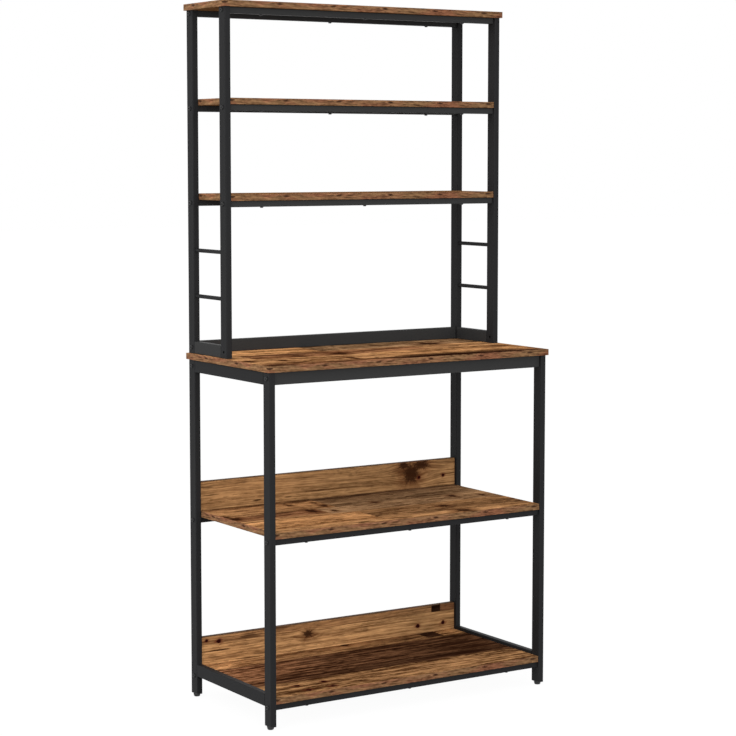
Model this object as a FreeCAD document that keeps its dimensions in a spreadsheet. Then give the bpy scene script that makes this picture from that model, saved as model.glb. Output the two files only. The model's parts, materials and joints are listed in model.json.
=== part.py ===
import FreeCAD, Part
import enum
import math
import os
import re

import Sketcher

# Kitchen shelf: a base with a worktop and two shelves, and a narrower hutch that stands on the rear
# half of the worktop. Wood-look boards on a frame of welded and bolted steel tube, on levelling feet.
# The frame of reference stands on the floor under the middle of the worktop: X runs to the right,
# Y runs to the back and Z runs up. All sizes are in millimetres.

SIZES = {
    # boards
    "worktop_width": 800,
    "worktop_depth": 400,
    "hutch_depth": 200,
    "board_thickness": 15,
    "board_overhang": 5,
    "board_edge_break": 0.5,
    "shelf_set_back": 2,
    "shelf_end_gap": 0.5,
    "back_board_height": 71,
    # heights, each counted from the board below to the upper face of the board above
    "bottom_shelf_height": 75,
    "middle_shelf_rise": 386,
    "worktop_rise": 386,
    "lower_hutch_rise": 386,
    "upper_hutch_rise": 225.5,
    "top_board_rise": 225.5,
    # steel tube
    "tube_width": 15,
    "tube_depth": 30,
    "tube_wall": 1.2,
    "tube_inner_corner": 0.8,
    "shelf_rail_size": 15,
    "bottom_side_rail_lip": 7.5,
    # hook rods, counted up from the worktop
    "rod_diameter": 9.5,
    "lower_rod_rise": 140,
    "upper_rod_rise": 250,
    # levelling feet
    "foot_pad_height": 8,
    "foot_pad_top_diameter": 18,
    "foot_pad_bottom_diameter": 14,
    "foot_pad_rim": 3,
    "foot_pad_floor": 2,
    "stud_diameter": 6,
    "stud_length": 30,
    "stud_end_taper": 1,
    "stud_collar_diameter": 10,
    "stud_collar_height": 2.5,
    "insert_flange": 1.5,
    "insert_length": 20,
    "insert_clearance": 0.1,
    "running_clearance": 0.1,
    # bolts, plugs and nuts
    "bolt_diameter": 6,
    "bolt_head_diameter": 10.5,
    "bolt_head_height": 3,
    "bolt_head_rim": 1,
    "bolt_crown_diameter": 7,
    "bolt_socket": 4,
    "bolt_socket_depth": 1.8,
    "bolt_grip": 10,
    "bolt_tail": 2.6,
    "plug_length": 12,
    "plug_clearance": 0.1,
    "weld_nut_width": 10,
    "weld_nut_height": 5,
    "hutch_bolt_inset": 25,
    # wood screws
    "screw_diameter": 4,
    "screw_head_diameter": 8,
    "screw_head_height": 2.5,
    "screw_head_rim": 1,
    "screw_crown_diameter": 5,
    "screw_tip_length": 3,
    "screw_tip_diameter": 1,
    "screw_grip": 10,
    "back_screw_grip": 20,
    "screw_inset": 90,
    "back_screw_inset": 235,
    # holes
    "hole_clearance": 0.25,
    "thread_clearance": 0.05,
    "hole_end_gap": 1,
    "access_hole_diameter": 12,
}

doc = FreeCAD.newDocument("kitchen_shelf")
sheet = doc.addObject("Spreadsheet::Sheet", "Sizes")
for row, (alias, size) in enumerate(SIZES.items(), start=1):
    sheet.set(f"A{row}", alias)
    sheet.set(f"B{row}", str(size))
    sheet.setAlias(f"B{row}", alias)
doc.recompute()


# Formulas and values


def formula(text):
    """Write a formula on the sheet's names: each bare word becomes a cell of the sheet."""
    return "(" + re.sub(r"(?<![\w.])[a-z]\w*", r"Sizes.\g<0>", text) + ")"


def value(expression):
    """The number that a formula gives with the sheet's present sizes."""
    return float(sheet.evalExpression(expression))


# planes of the frame
post_face_x = formula("worktop_width / 2 - board_overhang")
post_inner_x = formula(f"{post_face_x} - tube_width")
post_centre_x = formula(f"{post_face_x} - tube_width / 2")
rear_face_y = formula("worktop_depth / 2 - board_overhang")
rear_post_y = formula(f"{rear_face_y} - tube_depth / 2")
leg_front_y = formula(f"-{rear_face_y}")
leg_post_y = formula(f"-{rear_post_y}")
hutch_front_y = formula("worktop_depth / 2 - hutch_depth + board_overhang")
hutch_post_y = formula(f"{hutch_front_y} + tube_depth / 2")
left_post_x = formula(f"-{post_centre_x}")
right_post_x = post_centre_x

# upper faces of the boards
bottom_shelf_top = formula("bottom_shelf_height")
middle_shelf_top = formula(f"{bottom_shelf_top} + middle_shelf_rise")
worktop_top = formula(f"{middle_shelf_top} + worktop_rise")
lower_hutch_top = formula(f"{worktop_top} + lower_hutch_rise")
upper_hutch_top = formula(f"{lower_hutch_top} + upper_hutch_rise")
top_board_top = formula(f"{upper_hutch_top} + top_board_rise")

# lengths of the tubes
leg_bottom = formula("foot_pad_height + insert_flange")
leg_length = formula(f"{worktop_top} - board_thickness - {leg_bottom}")
post_length = formula(f"{top_board_top} - board_thickness - {worktop_top}")
cross_length = formula(f"2 * {post_inner_x}")
base_side_length = formula(f"2 * {rear_face_y} - 2 * tube_depth")
base_side_start_y = formula(f"{leg_front_y} + tube_depth")
hutch_side_length = formula(f"{rear_face_y} - {hutch_front_y} - 2 * tube_depth")
hutch_side_start_y = formula(f"{hutch_front_y} + tube_depth")
tube_corner = formula("tube_inner_corner + tube_wall")

# middle heights of the tubes that lie flat
worktop_rail_z = formula(f"{worktop_top} - board_thickness - tube_depth / 2")
guard_z = formula(f"{worktop_top} + tube_depth / 2")
bottom_side_rail_z = formula(f"{bottom_shelf_top} + bottom_side_rail_lip - tube_depth / 2")


def shelf_rail_z(board_top):
    """Middle height of the square rails under a board."""
    return formula(f"{board_top} - board_thickness - shelf_rail_size / 2")


# radii of the holes and lengths of the screws
bolt_hole = formula("bolt_diameter / 2 + hole_clearance")
bolt_thread = formula("bolt_diameter / 2 + thread_clearance")
screw_hole = formula("screw_diameter / 2 + hole_clearance")
screw_thread = formula("screw_diameter / 2 + thread_clearance")
access_hole = formula("access_hole_diameter / 2")
shelf_screw_length = formula("shelf_rail_size + screw_grip")
worktop_screw_length = formula("tube_wall + screw_grip")
back_screw_length = formula("shelf_rail_size + board_thickness + back_screw_grip")
rail_bolt_length = formula("tube_width + bolt_grip")
hutch_bolt_length = formula("2 * tube_wall + board_thickness + weld_nut_height + bolt_tail")

# places along a cross rail, counted from its left end
screw_places = [
    formula("screw_inset"),
    post_inner_x,
    formula(f"{cross_length} - screw_inset"),
]
back_screw_places = [
    formula("back_screw_inset"),
    formula(f"{cross_length} - back_screw_inset"),
]
# places along a hutch side guard, counted from its front end
hutch_bolt_places = [
    formula("hutch_bolt_inset"),
    formula(f"{hutch_side_length} - hutch_bolt_inset"),
]


# Sketches

# the sketcher's own numbers: points of a line or an arc count up from one, its axes down from minus one
START, END, CENTRE = enum.IntEnum("PointOf", ["START", "END", "CENTRE"])
HORIZONTAL_AXIS = -1
VERTICAL_AXIS = -2
ORIGIN = (HORIZONTAL_AXIS, START)
SKETCH_NORMAL = FreeCAD.Vector(0, 0, 1)


def new_sketch(body, plane_role, name):
    """An empty sketch on one of the body's own origin planes."""
    sketch = body.newObject("Sketcher::SketchObject", name)
    plane = next(item for item in body.Origin.OriginFeatures if item.Role == plane_role)
    sketch.AttachmentSupport = (plane, [""])
    sketch.MapMode = "FlatFace"
    return sketch


def bind(sketch, kind, targets, expression):
    """Add a dimension to a sketch and tie it to a formula."""
    index = sketch.addConstraint(Sketcher.Constraint(kind, *targets, value(expression)))
    sketch.setExpression(f"Constraints[{index}]", expression)


def place_point(sketch, point, across, up):
    """Hold a point of the sketch at its two distances from the origin; None means on the axis."""
    if across is None and up is None:
        sketch.addConstraint(Sketcher.Constraint("Coincident", *point, *ORIGIN))
        return
    if across is None:
        sketch.addConstraint(Sketcher.Constraint("PointOnObject", *point, VERTICAL_AXIS))
    else:
        bind(sketch, "DistanceX", (*ORIGIN, *point), across)
    if up is None:
        sketch.addConstraint(Sketcher.Constraint("PointOnObject", *point, HORIZONTAL_AXIS))
    else:
        bind(sketch, "DistanceY", (*ORIGIN, *point), up)


def sketch_point(across, up):
    """The sketch's vector for two formulas, with None for zero."""
    x = 0 if across is None else value(across)
    y = 0 if up is None else value(up)
    return FreeCAD.Vector(x, y, 0)


def add_circle(sketch, across, up, radius):
    circle = Part.Circle(sketch_point(across, up), SKETCH_NORMAL, value(radius))
    index = sketch.addGeometry(circle, False)
    place_point(sketch, (index, CENTRE), across, up)
    bind(sketch, "Radius", (index,), radius)


def add_polygon(sketch, corners):
    """A closed outline through corners, each given by two formulas."""
    points = [sketch_point(*corner) for corner in corners]
    count = len(points)
    lines = [Part.LineSegment(points[i], points[(i + 1) % count]) for i in range(count)]
    indexes = sketch.addGeometry(lines, False)
    for i in range(count):
        follower = indexes[(i + 1) % count]
        sketch.addConstraint(Sketcher.Constraint("Coincident", indexes[i], END, follower, START))
    for index, corner in zip(indexes, corners):
        place_point(sketch, (index, START), *corner)


def add_rounded_rectangle(sketch, width, depth, corner):
    """A rectangle about the origin, with a quarter circle at each corner."""
    x = value(width) / 2
    y = value(depth) / 2
    radius = value(corner)
    inner_x = x - radius
    inner_y = y - radius

    def line(x0, y0, x1, y1):
        return Part.LineSegment(FreeCAD.Vector(x0, y0, 0), FreeCAD.Vector(x1, y1, 0))

    def quarter(centre_x, centre_y, first_turn):
        circle = Part.Circle(FreeCAD.Vector(centre_x, centre_y, 0), SKETCH_NORMAL, radius)
        first_angle = first_turn * math.pi / 2
        return Part.ArcOfCircle(circle, first_angle, first_angle + math.pi / 2)

    outline = [
        line(-inner_x, -y, inner_x, -y),
        quarter(inner_x, -inner_y, -1),
        line(x, -inner_y, x, inner_y),
        quarter(inner_x, inner_y, 0),
        line(inner_x, y, -inner_x, y),
        quarter(-inner_x, inner_y, 1),
        line(-x, inner_y, -x, -inner_y),
        quarter(-inner_x, -inner_y, 2),
    ]
    indexes = sketch.addGeometry(outline, False)
    lower, arc_1, right, arc_2, upper, arc_3, left, arc_4 = indexes
    for first, second in zip(indexes, (*indexes[1:], indexes[0])):
        sketch.addConstraint(Sketcher.Constraint("Tangent", first, END, second, START))
    for level in (lower, upper):
        sketch.addConstraint(Sketcher.Constraint("Horizontal", level))
    for upright in (right, left):
        sketch.addConstraint(Sketcher.Constraint("Vertical", upright))
    for first, second in ((arc_1, arc_2), (arc_2, arc_3), (arc_3, arc_4)):
        sketch.addConstraint(Sketcher.Constraint("Equal", first, second))
    sketch.addConstraint(Sketcher.Constraint("Symmetric", arc_1, CENTRE, arc_3, CENTRE, *ORIGIN))
    bind(sketch, "DistanceX", (left, START, right, START), width)
    bind(sketch, "DistanceY", (lower, START, upper, START), depth)
    bind(sketch, "Radius", (arc_1,), corner)


def add_hexagon(sketch, across_flats):
    """A regular hexagon about the origin, with two sides level."""
    corner_radius = value(across_flats) / math.sqrt(3)
    angles = [math.radians(60 * step) for step in range(6)]
    corners = [FreeCAD.Vector(corner_radius * math.cos(a), corner_radius * math.sin(a), 0) for a in angles]
    sides = [Part.LineSegment(corners[i], corners[(i + 1) % 6]) for i in range(6)]
    indexes = sketch.addGeometry(sides, False)
    circle = sketch.addGeometry(Part.Circle(FreeCAD.Vector(), SKETCH_NORMAL, corner_radius), True)
    sketch.addConstraint(Sketcher.Constraint("Coincident", circle, CENTRE, *ORIGIN))
    for first, second in zip(indexes, (*indexes[1:], indexes[0])):
        sketch.addConstraint(Sketcher.Constraint("Coincident", first, END, second, START))
        sketch.addConstraint(Sketcher.Constraint("PointOnObject", first, START, circle))
    for first, second in zip(indexes[:-1], indexes[1:]):
        sketch.addConstraint(Sketcher.Constraint("Equal", first, second))
    upper_side = indexes[1]
    lower_side = indexes[4]
    sketch.addConstraint(Sketcher.Constraint("Horizontal", upper_side))
    bind(sketch, "DistanceY", (lower_side, START, upper_side, START), across_flats)


# Features

parts = {}


def new_body(label):
    return doc.addObject("PartDesign::Body", label)


def keep(piece, *place):
    """Tie the piece's place to formulas for x, y and z, and list it as a part of the shelf."""
    move(piece, *place)
    parts[piece.Label] = piece


def move(piece, x, y, z):
    piece.setExpression("Placement.Base.x", x)
    piece.setExpression("Placement.Base.y", y)
    piece.setExpression("Placement.Base.z", z)


def pad(body, sketch, length, reverse=False):
    feature = body.newObject("PartDesign::Pad", sketch.Name + "_pad")
    feature.Profile = sketch
    feature.Reversed = reverse
    feature.setExpression("Length", length)
    sketch.Visibility = False
    doc.recompute()
    return feature


def pocket(body, sketch, depth=None, reverse=False, both_ways=False):
    """Cut a sketch out of the body: to a depth, or right through; the volume has to fall."""
    volume_before = body.Shape.Volume
    feature = body.newObject("PartDesign::Pocket", sketch.Name + "_cut")
    feature.Profile = sketch
    feature.Reversed = reverse
    if depth is None:
        feature.Type = "ThroughAll"
    else:
        feature.setExpression("Length", depth)
    if both_ways:
        feature.SideType = "Symmetric"
    sketch.Visibility = False
    doc.recompute()
    if body.Shape.Volume >= volume_before:
        raise RuntimeError(f"{feature.Label} removes nothing")


def drill(body, plane_role, name, places, radius, **way):
    """Round holes of one radius, square to a plane, at places given by two formulas each."""
    sketch = new_sketch(body, plane_role, f"{body.Label}_{name}")
    for across, up in places:
        add_circle(sketch, across, up, radius)
    pocket(body, sketch, **way)


def revolve(body, corners):
    """Turn an outline of radii and heights about the body's Z axis."""
    sketch = new_sketch(body, "XZ_Plane", f"{body.Label}_profile")
    add_polygon(sketch, corners)
    feature = body.newObject("PartDesign::Revolution", f"{body.Label}_turned")
    feature.Profile = sketch
    feature.ReferenceAxis = (sketch, ["V_Axis"])
    sketch.Visibility = False
    doc.recompute()


def tube(label, plane_role, width, depth):
    """A body that holds the hollow section of a tube, not yet drawn out to its length."""
    body = new_body(label)
    sketch = new_sketch(body, plane_role, f"{label}_section")
    add_rounded_rectangle(sketch, width, depth, tube_corner)
    bore_width = formula(f"{width} - 2 * tube_wall")
    bore_depth = formula(f"{depth} - 2 * tube_wall")
    add_rounded_rectangle(sketch, bore_width, bore_depth, formula("tube_inner_corner"))
    return body, sketch


stock_width = formula("tube_width")
stock_depth = formula("tube_depth")
rail_side = formula("shelf_rail_size")


# Legs and hutch posts: upright tubes, narrow across the front, drilled from side to side for the rail bolts


def upright(label, x, y, z, length, bolt_heights):
    body, section = tube(label, "XY_Plane", stock_width, stock_depth)
    pad(body, section, length)
    places = [(None, formula(f"{height} - {z}")) for height in bolt_heights]
    drill(body, "YZ_Plane", "bolt_holes", places, bolt_hole, both_ways=True)
    keep(body, x, y, z)


SIDES = {"left": left_post_x, "right": right_post_x}
BASE_ROWS = {"front": leg_post_y, "rear": rear_post_y}
HUTCH_ROWS = {"front": hutch_post_y, "rear": rear_post_y}

base_bolt_heights = [shelf_rail_z(bottom_shelf_top), shelf_rail_z(middle_shelf_top), worktop_rail_z]
# the lowest hole of a front post is spare, because the side frames are drilled alike front and rear
hutch_bolt_heights = [guard_z]
hutch_bolt_heights += [shelf_rail_z(top) for top in (lower_hutch_top, upper_hutch_top, top_board_top)]

for side, x in SIDES.items():
    for row, y in BASE_ROWS.items():
        upright(f"base_{row}_{side}_leg", x, y, leg_bottom, leg_length, base_bolt_heights)
    for row, y in HUTCH_ROWS.items():
        upright(f"hutch_{row}_{side}_post", x, y, worktop_top, post_length, hutch_bolt_heights)


# Side rails and guards: tubes on edge, welded between a front and a rear upright


def side_tube(label, x, start_y, z, length):
    body, section = tube(label, "XZ_Plane", stock_width, stock_depth)
    pad(body, section, length, reverse=True)
    keep(body, x, start_y, z)
    return body


guard_to_rail = formula(f"{hutch_side_start_y} - {base_side_start_y}")
hutch_bolts_on_rail = [(None, formula(f"{guard_to_rail} + {place}")) for place in hutch_bolt_places]
hutch_bolts_on_guard = [(None, place) for place in hutch_bolt_places]

for side, x in SIDES.items():
    side_tube(f"base_{side}_bottom_rail", x, base_side_start_y, bottom_side_rail_z, base_side_length)
    top_rail = side_tube(f"base_{side}_top_rail", x, base_side_start_y, worktop_rail_z, base_side_length)
    drill(top_rail, "XY_Plane", "bolt_holes", hutch_bolts_on_rail, bolt_hole, reverse=True)
    drill(top_rail, "XY_Plane", "access_holes", hutch_bolts_on_rail, access_hole)
    guard = side_tube(f"hutch_{side}_guard", x, hutch_side_start_y, guard_z, hutch_side_length)
    drill(guard, "XY_Plane", "bolt_holes", hutch_bolts_on_guard, bolt_hole)


# Hook rods: round bars welded between the hutch posts, low on each side

rod_rises = {"lower": formula("lower_rod_rise"), "upper": formula("upper_rod_rise")}

for side, x in SIDES.items():
    for level, rise in rod_rises.items():
        rod = new_body(f"hutch_{side}_{level}_rod")
        rod_section = new_sketch(rod, "XZ_Plane", f"{rod.Label}_section")
        add_circle(rod_section, None, None, formula("rod_diameter / 2"))
        pad(rod, rod_section, hutch_side_length, reverse=True)
        keep(rod, x, hutch_side_start_y, formula(f"{worktop_top} + {rise}"))


# Cross rails: tubes from side to side, bolted between the uprights and screwed to the boards above them

cross_start_x = formula(f"-{post_inner_x}")
screws_on_rail = [(place, None) for place in screw_places]
back_screws_on_rail = [(place, None) for place in back_screw_places]


def cross_tube(label, y, z, depth, height):
    body, section = tube(label, "YZ_Plane", depth, height)
    pad(body, section, cross_length)
    keep(body, cross_start_x, y, z)
    return body


def shelf_rail(label, y, board_top):
    rail = cross_tube(label, y, shelf_rail_z(board_top), rail_side, rail_side)
    drill(rail, "XY_Plane", "screw_holes", screws_on_rail, screw_hole, both_ways=True)
    return rail


HUTCH_LEVELS = {"lower_hutch": lower_hutch_top, "upper_hutch": upper_hutch_top, "top_board": top_board_top}
BASE_LEVELS = {"bottom_shelf": bottom_shelf_top, "middle_shelf": middle_shelf_top}

for level, board_top in BASE_LEVELS.items():
    shelf_rail(f"{level}_front_rail", leg_post_y, board_top)
    rear_rail = shelf_rail(f"{level}_rear_rail", rear_post_y, board_top)
    drill(rear_rail, "XY_Plane", "back_screw_holes", back_screws_on_rail, screw_hole, both_ways=True)

for row, y in BASE_ROWS.items():
    worktop_rail = cross_tube(f"worktop_{row}_rail", y, worktop_rail_z, stock_width, stock_depth)
    drill(worktop_rail, "XY_Plane", "screw_holes", screws_on_rail, screw_hole, reverse=True)
    drill(worktop_rail, "XY_Plane", "access_holes", screws_on_rail, access_hole)

for level, board_top in HUTCH_LEVELS.items():
    for row, y in HUTCH_ROWS.items():
        shelf_rail(f"{level}_{row}_rail", y, board_top)

cross_tube("hutch_rear_guard", rear_post_y, guard_z, stock_width, stock_depth)


# Boards: laminated panels with broken edges, drilled from below for the screws

board_thickness = formula("board_thickness")
shelf_width = formula(f"{cross_length} - 2 * shelf_end_gap")
shelf_left_x = formula(f"{cross_start_x} + shelf_end_gap")
base_shelf_front_y = formula(f"{leg_front_y} + shelf_set_back")
hutch_shelf_front_y = formula(f"{hutch_front_y} + shelf_set_back")
shelf_rear_y = formula(f"{rear_face_y} - shelf_set_back")
worktop_left_x = formula("-worktop_width / 2")
worktop_front_y = formula("-worktop_depth / 2")
top_board_front_y = formula("worktop_depth / 2 - hutch_depth")
back_board_front_y = formula(f"{rear_post_y} - board_thickness / 2")
screw_hole_depth = formula("screw_grip + hole_end_gap")
back_screw_hole_depth = formula("back_screw_grip + hole_end_gap")


def board(label, left_x, front_y, bottom_z, width, depth, height):
    """A panel drawn from its front left lower corner, with every edge broken."""
    body = new_body(label)
    outline = new_sketch(body, "XY_Plane", f"{label}_outline")
    add_polygon(outline, [(None, None), (width, None), (width, depth), (None, depth)])
    block = pad(body, outline, height)
    broken = body.newObject("PartDesign::Chamfer", f"{label}_broken_edges")
    broken.Base = (block, [f"Edge{number}" for number in range(1, len(block.Shape.Edges) + 1)])
    broken.setExpression("Size", formula("board_edge_break"))
    doc.recompute()
    keep(body, left_x, front_y, bottom_z)
    return body


def holes_over_rails(left_x, front_y, places, rows):
    """Places on a board, from its own corner, that lie over the screws of its rails."""
    along = [formula(f"{cross_start_x} + {place} - {left_x}") for place in places]
    back = [formula(f"{y} - {front_y}") for y in rows]
    return [(x, y) for x in along for y in back]


def shelf_board(label, left_x, front_y, board_top, width, rear_y, rows):
    """A level board over its rails, with a blind screw hole over each screw."""
    depth = formula(f"{rear_y} - {front_y}")
    bottom_z = formula(f"{board_top} - board_thickness")
    body = board(label, left_x, front_y, bottom_z, width, depth, board_thickness)
    places = holes_over_rails(left_x, front_y, screw_places, rows)
    drill(body, "XY_Plane", "screw_holes", places, screw_thread, depth=screw_hole_depth, reverse=True)
    return body


base_rows = list(BASE_ROWS.values())
hutch_rows = list(HUTCH_ROWS.values())
worktop_width = formula("worktop_width")
worktop_rear_y = formula("worktop_depth / 2")

for level, board_top in BASE_LEVELS.items():
    shelf = shelf_board(level, shelf_left_x, base_shelf_front_y, board_top, shelf_width, shelf_rear_y, base_rows)
    places = holes_over_rails(shelf_left_x, base_shelf_front_y, back_screw_places, [rear_post_y])
    drill(shelf, "XY_Plane", "back_screw_holes", places, screw_hole, reverse=True)
    name = level.replace("shelf", "back_board")
    back_height = formula("back_board_height")
    back = board(name, shelf_left_x, back_board_front_y, board_top, shelf_width, board_thickness, back_height)
    places = holes_over_rails(shelf_left_x, back_board_front_y, back_screw_places, [rear_post_y])
    drill(back, "XY_Plane", "screw_holes", places, screw_thread, depth=back_screw_hole_depth, reverse=True)

worktop = shelf_board(
    "worktop", worktop_left_x, worktop_front_y, worktop_top, worktop_width, worktop_rear_y, base_rows
)
worktop_bolt_places = [
    (formula(f"{x} - {worktop_left_x}"), formula(f"{hutch_side_start_y} + {place} - {worktop_front_y}"))
    for x in SIDES.values()
    for place in hutch_bolt_places
]
drill(worktop, "XY_Plane", "bolt_holes", worktop_bolt_places, bolt_hole, reverse=True)

for name in ("lower_hutch", "upper_hutch"):
    board_top = HUTCH_LEVELS[name]
    label = f"{name}_shelf"
    shelf_board(label, shelf_left_x, hutch_shelf_front_y, board_top, shelf_width, shelf_rear_y, hutch_rows)

shelf_board(
    "top_board", worktop_left_x, top_board_front_y, top_board_top, worktop_width, worktop_rear_y, hutch_rows
)


# Levelling feet: a threaded insert in the leg, a stud that screws into it and a pad that turns on the stud

insert_radius = formula("stud_diameter / 2 + running_clearance")
insert_width = formula("tube_width - 2 * tube_wall - 2 * insert_clearance")
insert_depth = formula("tube_depth - 2 * tube_wall - 2 * insert_clearance")
collar_top = formula("foot_pad_floor + stud_collar_height")
stud_top = formula(f"{collar_top} + stud_length")
floor_z = "0"


def leg_insert(label, x, y):
    """A moulded plug with a flange over the end of the leg and a threaded bore."""
    body = new_body(label)
    flange = new_sketch(body, "XY_Plane", f"{label}_flange")
    add_rounded_rectangle(flange, stock_width, stock_depth, tube_corner)
    pad(body, flange, formula("insert_flange"))
    plug = new_sketch(body, "XY_Plane", f"{label}_plug")
    add_rounded_rectangle(plug, insert_width, insert_depth, formula("tube_inner_corner"))
    pad(body, plug, formula("insert_flange + insert_length"))
    drill(body, "XY_Plane", "bore", [(None, None)], insert_radius, reverse=True)
    keep(body, x, y, formula("foot_pad_height"))


def foot_stud(label, x, y):
    """A stud whose collar is held in the pad; its upper end is tapered to start the thread."""
    body = new_body(label)
    shank = formula("stud_diameter / 2")
    collar = formula("stud_collar_diameter / 2")
    tip = formula(f"{shank} - stud_end_taper")
    taper_start = formula(f"{stud_top} - stud_end_taper")
    collar_bottom = formula("foot_pad_floor")
    revolve(body, [
        (None, collar_bottom),
        (collar, collar_bottom),
        (collar, collar_top),
        (shank, collar_top),
        (shank, taper_start),
        (tip, stud_top),
        (None, stud_top),
    ])
    keep(body, x, y, floor_z)


def foot_pad(label, x, y):
    """A tapered round pad with a pocket for the stud's collar."""
    body = new_body(label)
    bottom = formula("foot_pad_bottom_diameter / 2")
    top = formula("foot_pad_top_diameter / 2")
    rim_bottom = formula("foot_pad_height - foot_pad_rim")
    height = formula("foot_pad_height")
    mouth = formula("stud_diameter / 2 + running_clearance")
    pocket_radius = formula("stud_collar_diameter / 2 + running_clearance")
    pocket_bottom = formula("foot_pad_floor - running_clearance")
    pocket_top = formula(f"{collar_top} + running_clearance")
    revolve(body, [
        (None, None),
        (bottom, None),
        (top, rim_bottom),
        (top, height),
        (mouth, height),
        (mouth, pocket_top),
        (pocket_radius, pocket_top),
        (pocket_radius, pocket_bottom),
        (None, pocket_bottom),
    ])
    keep(body, x, y, floor_z)


for side, x in SIDES.items():
    for row, y in BASE_ROWS.items():
        leg_insert(f"{row}_{side}_leg_insert", x, y)
        foot_stud(f"{row}_{side}_foot_stud", x, y)
        foot_pad(f"{row}_{side}_foot_pad", x, y)


# Fasteners: each kind is modelled once, head down, and its copies make one group

UPWARD = FreeCAD.Rotation()
TO_RIGHT = FreeCAD.Rotation(FreeCAD.Vector(0, 1, 0), 90)
TO_LEFT = FreeCAD.Rotation(FreeCAD.Vector(0, 1, 0), -90)
FLATS_TO_WALLS = FreeCAD.Rotation(FreeCAD.Vector(0, 0, 1), 90)


def group(label, places):
    """One part made of copies, each given by its pattern, turn and place."""
    copies = []
    for number, (pattern, turn, place) in enumerate(places, start=1):
        copy = doc.addObject("App::Link", f"{label}_{number}")
        copy.LinkedObject = pattern
        copy.Placement = FreeCAD.Placement(FreeCAD.Vector(), turn)
        move(copy, *place)
        copies.append(copy)
    compound = doc.addObject("Part::Compound", label)
    compound.Links = copies
    doc.recompute()
    parts[label] = compound


def bolt_pattern(label, length):
    """A socket head bolt with a low domed head, standing on the crown of its head."""
    body = new_body(label)
    shank = formula("bolt_diameter / 2")
    head = formula("bolt_head_diameter / 2")
    crown = formula("bolt_crown_diameter / 2")
    seat = formula("bolt_head_height")
    rim = formula("bolt_head_height - bolt_head_rim")
    end = formula(f"bolt_head_height + {length}")
    revolve(body, [
        (None, None),
        (crown, None),
        (head, rim),
        (head, seat),
        (shank, seat),
        (shank, end),
        (None, end),
    ])
    socket = new_sketch(body, "XY_Plane", f"{label}_socket")
    add_hexagon(socket, formula("bolt_socket"))
    pocket(body, socket, depth=formula("bolt_socket_depth"), reverse=True)
    return body


def screw_pattern(label, length):
    """A round head wood screw with a tapered tip, standing on the crown of its head."""
    body = new_body(label)
    shank = formula("screw_diameter / 2")
    head = formula("screw_head_diameter / 2")
    crown = formula("screw_crown_diameter / 2")
    tip = formula("screw_tip_diameter / 2")
    seat = formula("screw_head_height")
    rim = formula("screw_head_height - screw_head_rim")
    end = formula(f"screw_head_height + {length}")
    taper_start = formula(f"{end} - screw_tip_length")
    revolve(body, [
        (None, None),
        (crown, None),
        (head, rim),
        (head, seat),
        (shank, seat),
        (shank, taper_start),
        (tip, end),
        (None, end),
    ])
    return body


def plug_pattern(label, rail_depth, rail_height):
    """A threaded block that fills the end of a rail, drawn along X from its left end."""
    body = new_body(label)
    section = new_sketch(body, "YZ_Plane", f"{label}_section")
    plug_width = formula(f"{rail_depth} - 2 * tube_wall - 2 * plug_clearance")
    plug_height = formula(f"{rail_height} - 2 * tube_wall - 2 * plug_clearance")
    add_rounded_rectangle(section, plug_width, plug_height, formula("tube_inner_corner"))
    add_circle(section, None, None, bolt_thread)
    pad(body, section, formula("plug_length"))
    return body


def nut_pattern(label):
    """A hexagon nut, drawn from its seat upwards."""
    body = new_body(label)
    section = new_sketch(body, "XY_Plane", f"{label}_section")
    add_hexagon(section, formula("weld_nut_width"))
    add_circle(section, None, None, bolt_thread)
    pad(body, section, formula("weld_nut_height"))
    return body


# ends of the cross rails: the square rails and the tall ones, each by its two middle lines
square_rail_lines = [(y, shelf_rail_z(top)) for top in BASE_LEVELS.values() for y in base_rows]
square_rail_lines += [(y, shelf_rail_z(top)) for top in HUTCH_LEVELS.values() for y in hutch_rows]
tall_rail_lines = [(y, worktop_rail_z) for y in base_rows]
tall_rail_lines += [(rear_post_y, guard_z)]

rail_bolt = bolt_pattern("rail_bolt_pattern", rail_bolt_length)
head_left_x = formula(f"-{post_face_x} - bolt_head_height")
head_right_x = formula(f"{post_face_x} + bolt_head_height")
rail_bolt_places = []
for y, z in square_rail_lines + tall_rail_lines:
    rail_bolt_places.append((rail_bolt, TO_RIGHT, (head_left_x, y, z)))
    rail_bolt_places.append((rail_bolt, TO_LEFT, (head_right_x, y, z)))
group("rail_bolts", rail_bolt_places)

plug_right_x = formula(f"{post_inner_x} - plug_length")
plug_lines = {
    "square_rail_plugs": (plug_pattern("square_plug_pattern", rail_side, rail_side), square_rail_lines),
    "tall_rail_plugs": (plug_pattern("tall_plug_pattern", stock_width, stock_depth), tall_rail_lines),
}
for label, (pattern, lines) in plug_lines.items():
    places = [(pattern, UPWARD, (x, y, z)) for y, z in lines for x in (cross_start_x, plug_right_x)]
    group(label, places)

nut = nut_pattern("weld_nut_pattern")
hutch_bolt = bolt_pattern("hutch_bolt_pattern", hutch_bolt_length)
hutch_bolt_z = formula(f"{worktop_top} - board_thickness - tube_wall - bolt_head_height")
weld_nut_z = formula(f"{worktop_top} + tube_wall")
hutch_bolt_lines = [
    (x, formula(f"{hutch_side_start_y} + {place}")) for x in SIDES.values() for place in hutch_bolt_places
]
group("hutch_bolts", [(hutch_bolt, UPWARD, (x, y, hutch_bolt_z)) for x, y in hutch_bolt_lines])
group("hutch_weld_nuts", [(nut, FLATS_TO_WALLS, (x, y, weld_nut_z)) for x, y in hutch_bolt_lines])

screw_lines_x = [formula(f"{cross_start_x} + {place}") for place in screw_places]
back_screw_lines_x = [formula(f"{cross_start_x} + {place}") for place in back_screw_places]


def under_rail(board_top):
    """Height of a screw's crown under the square rails of a board."""
    return formula(f"{board_top} - board_thickness - shelf_rail_size - screw_head_height")


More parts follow.
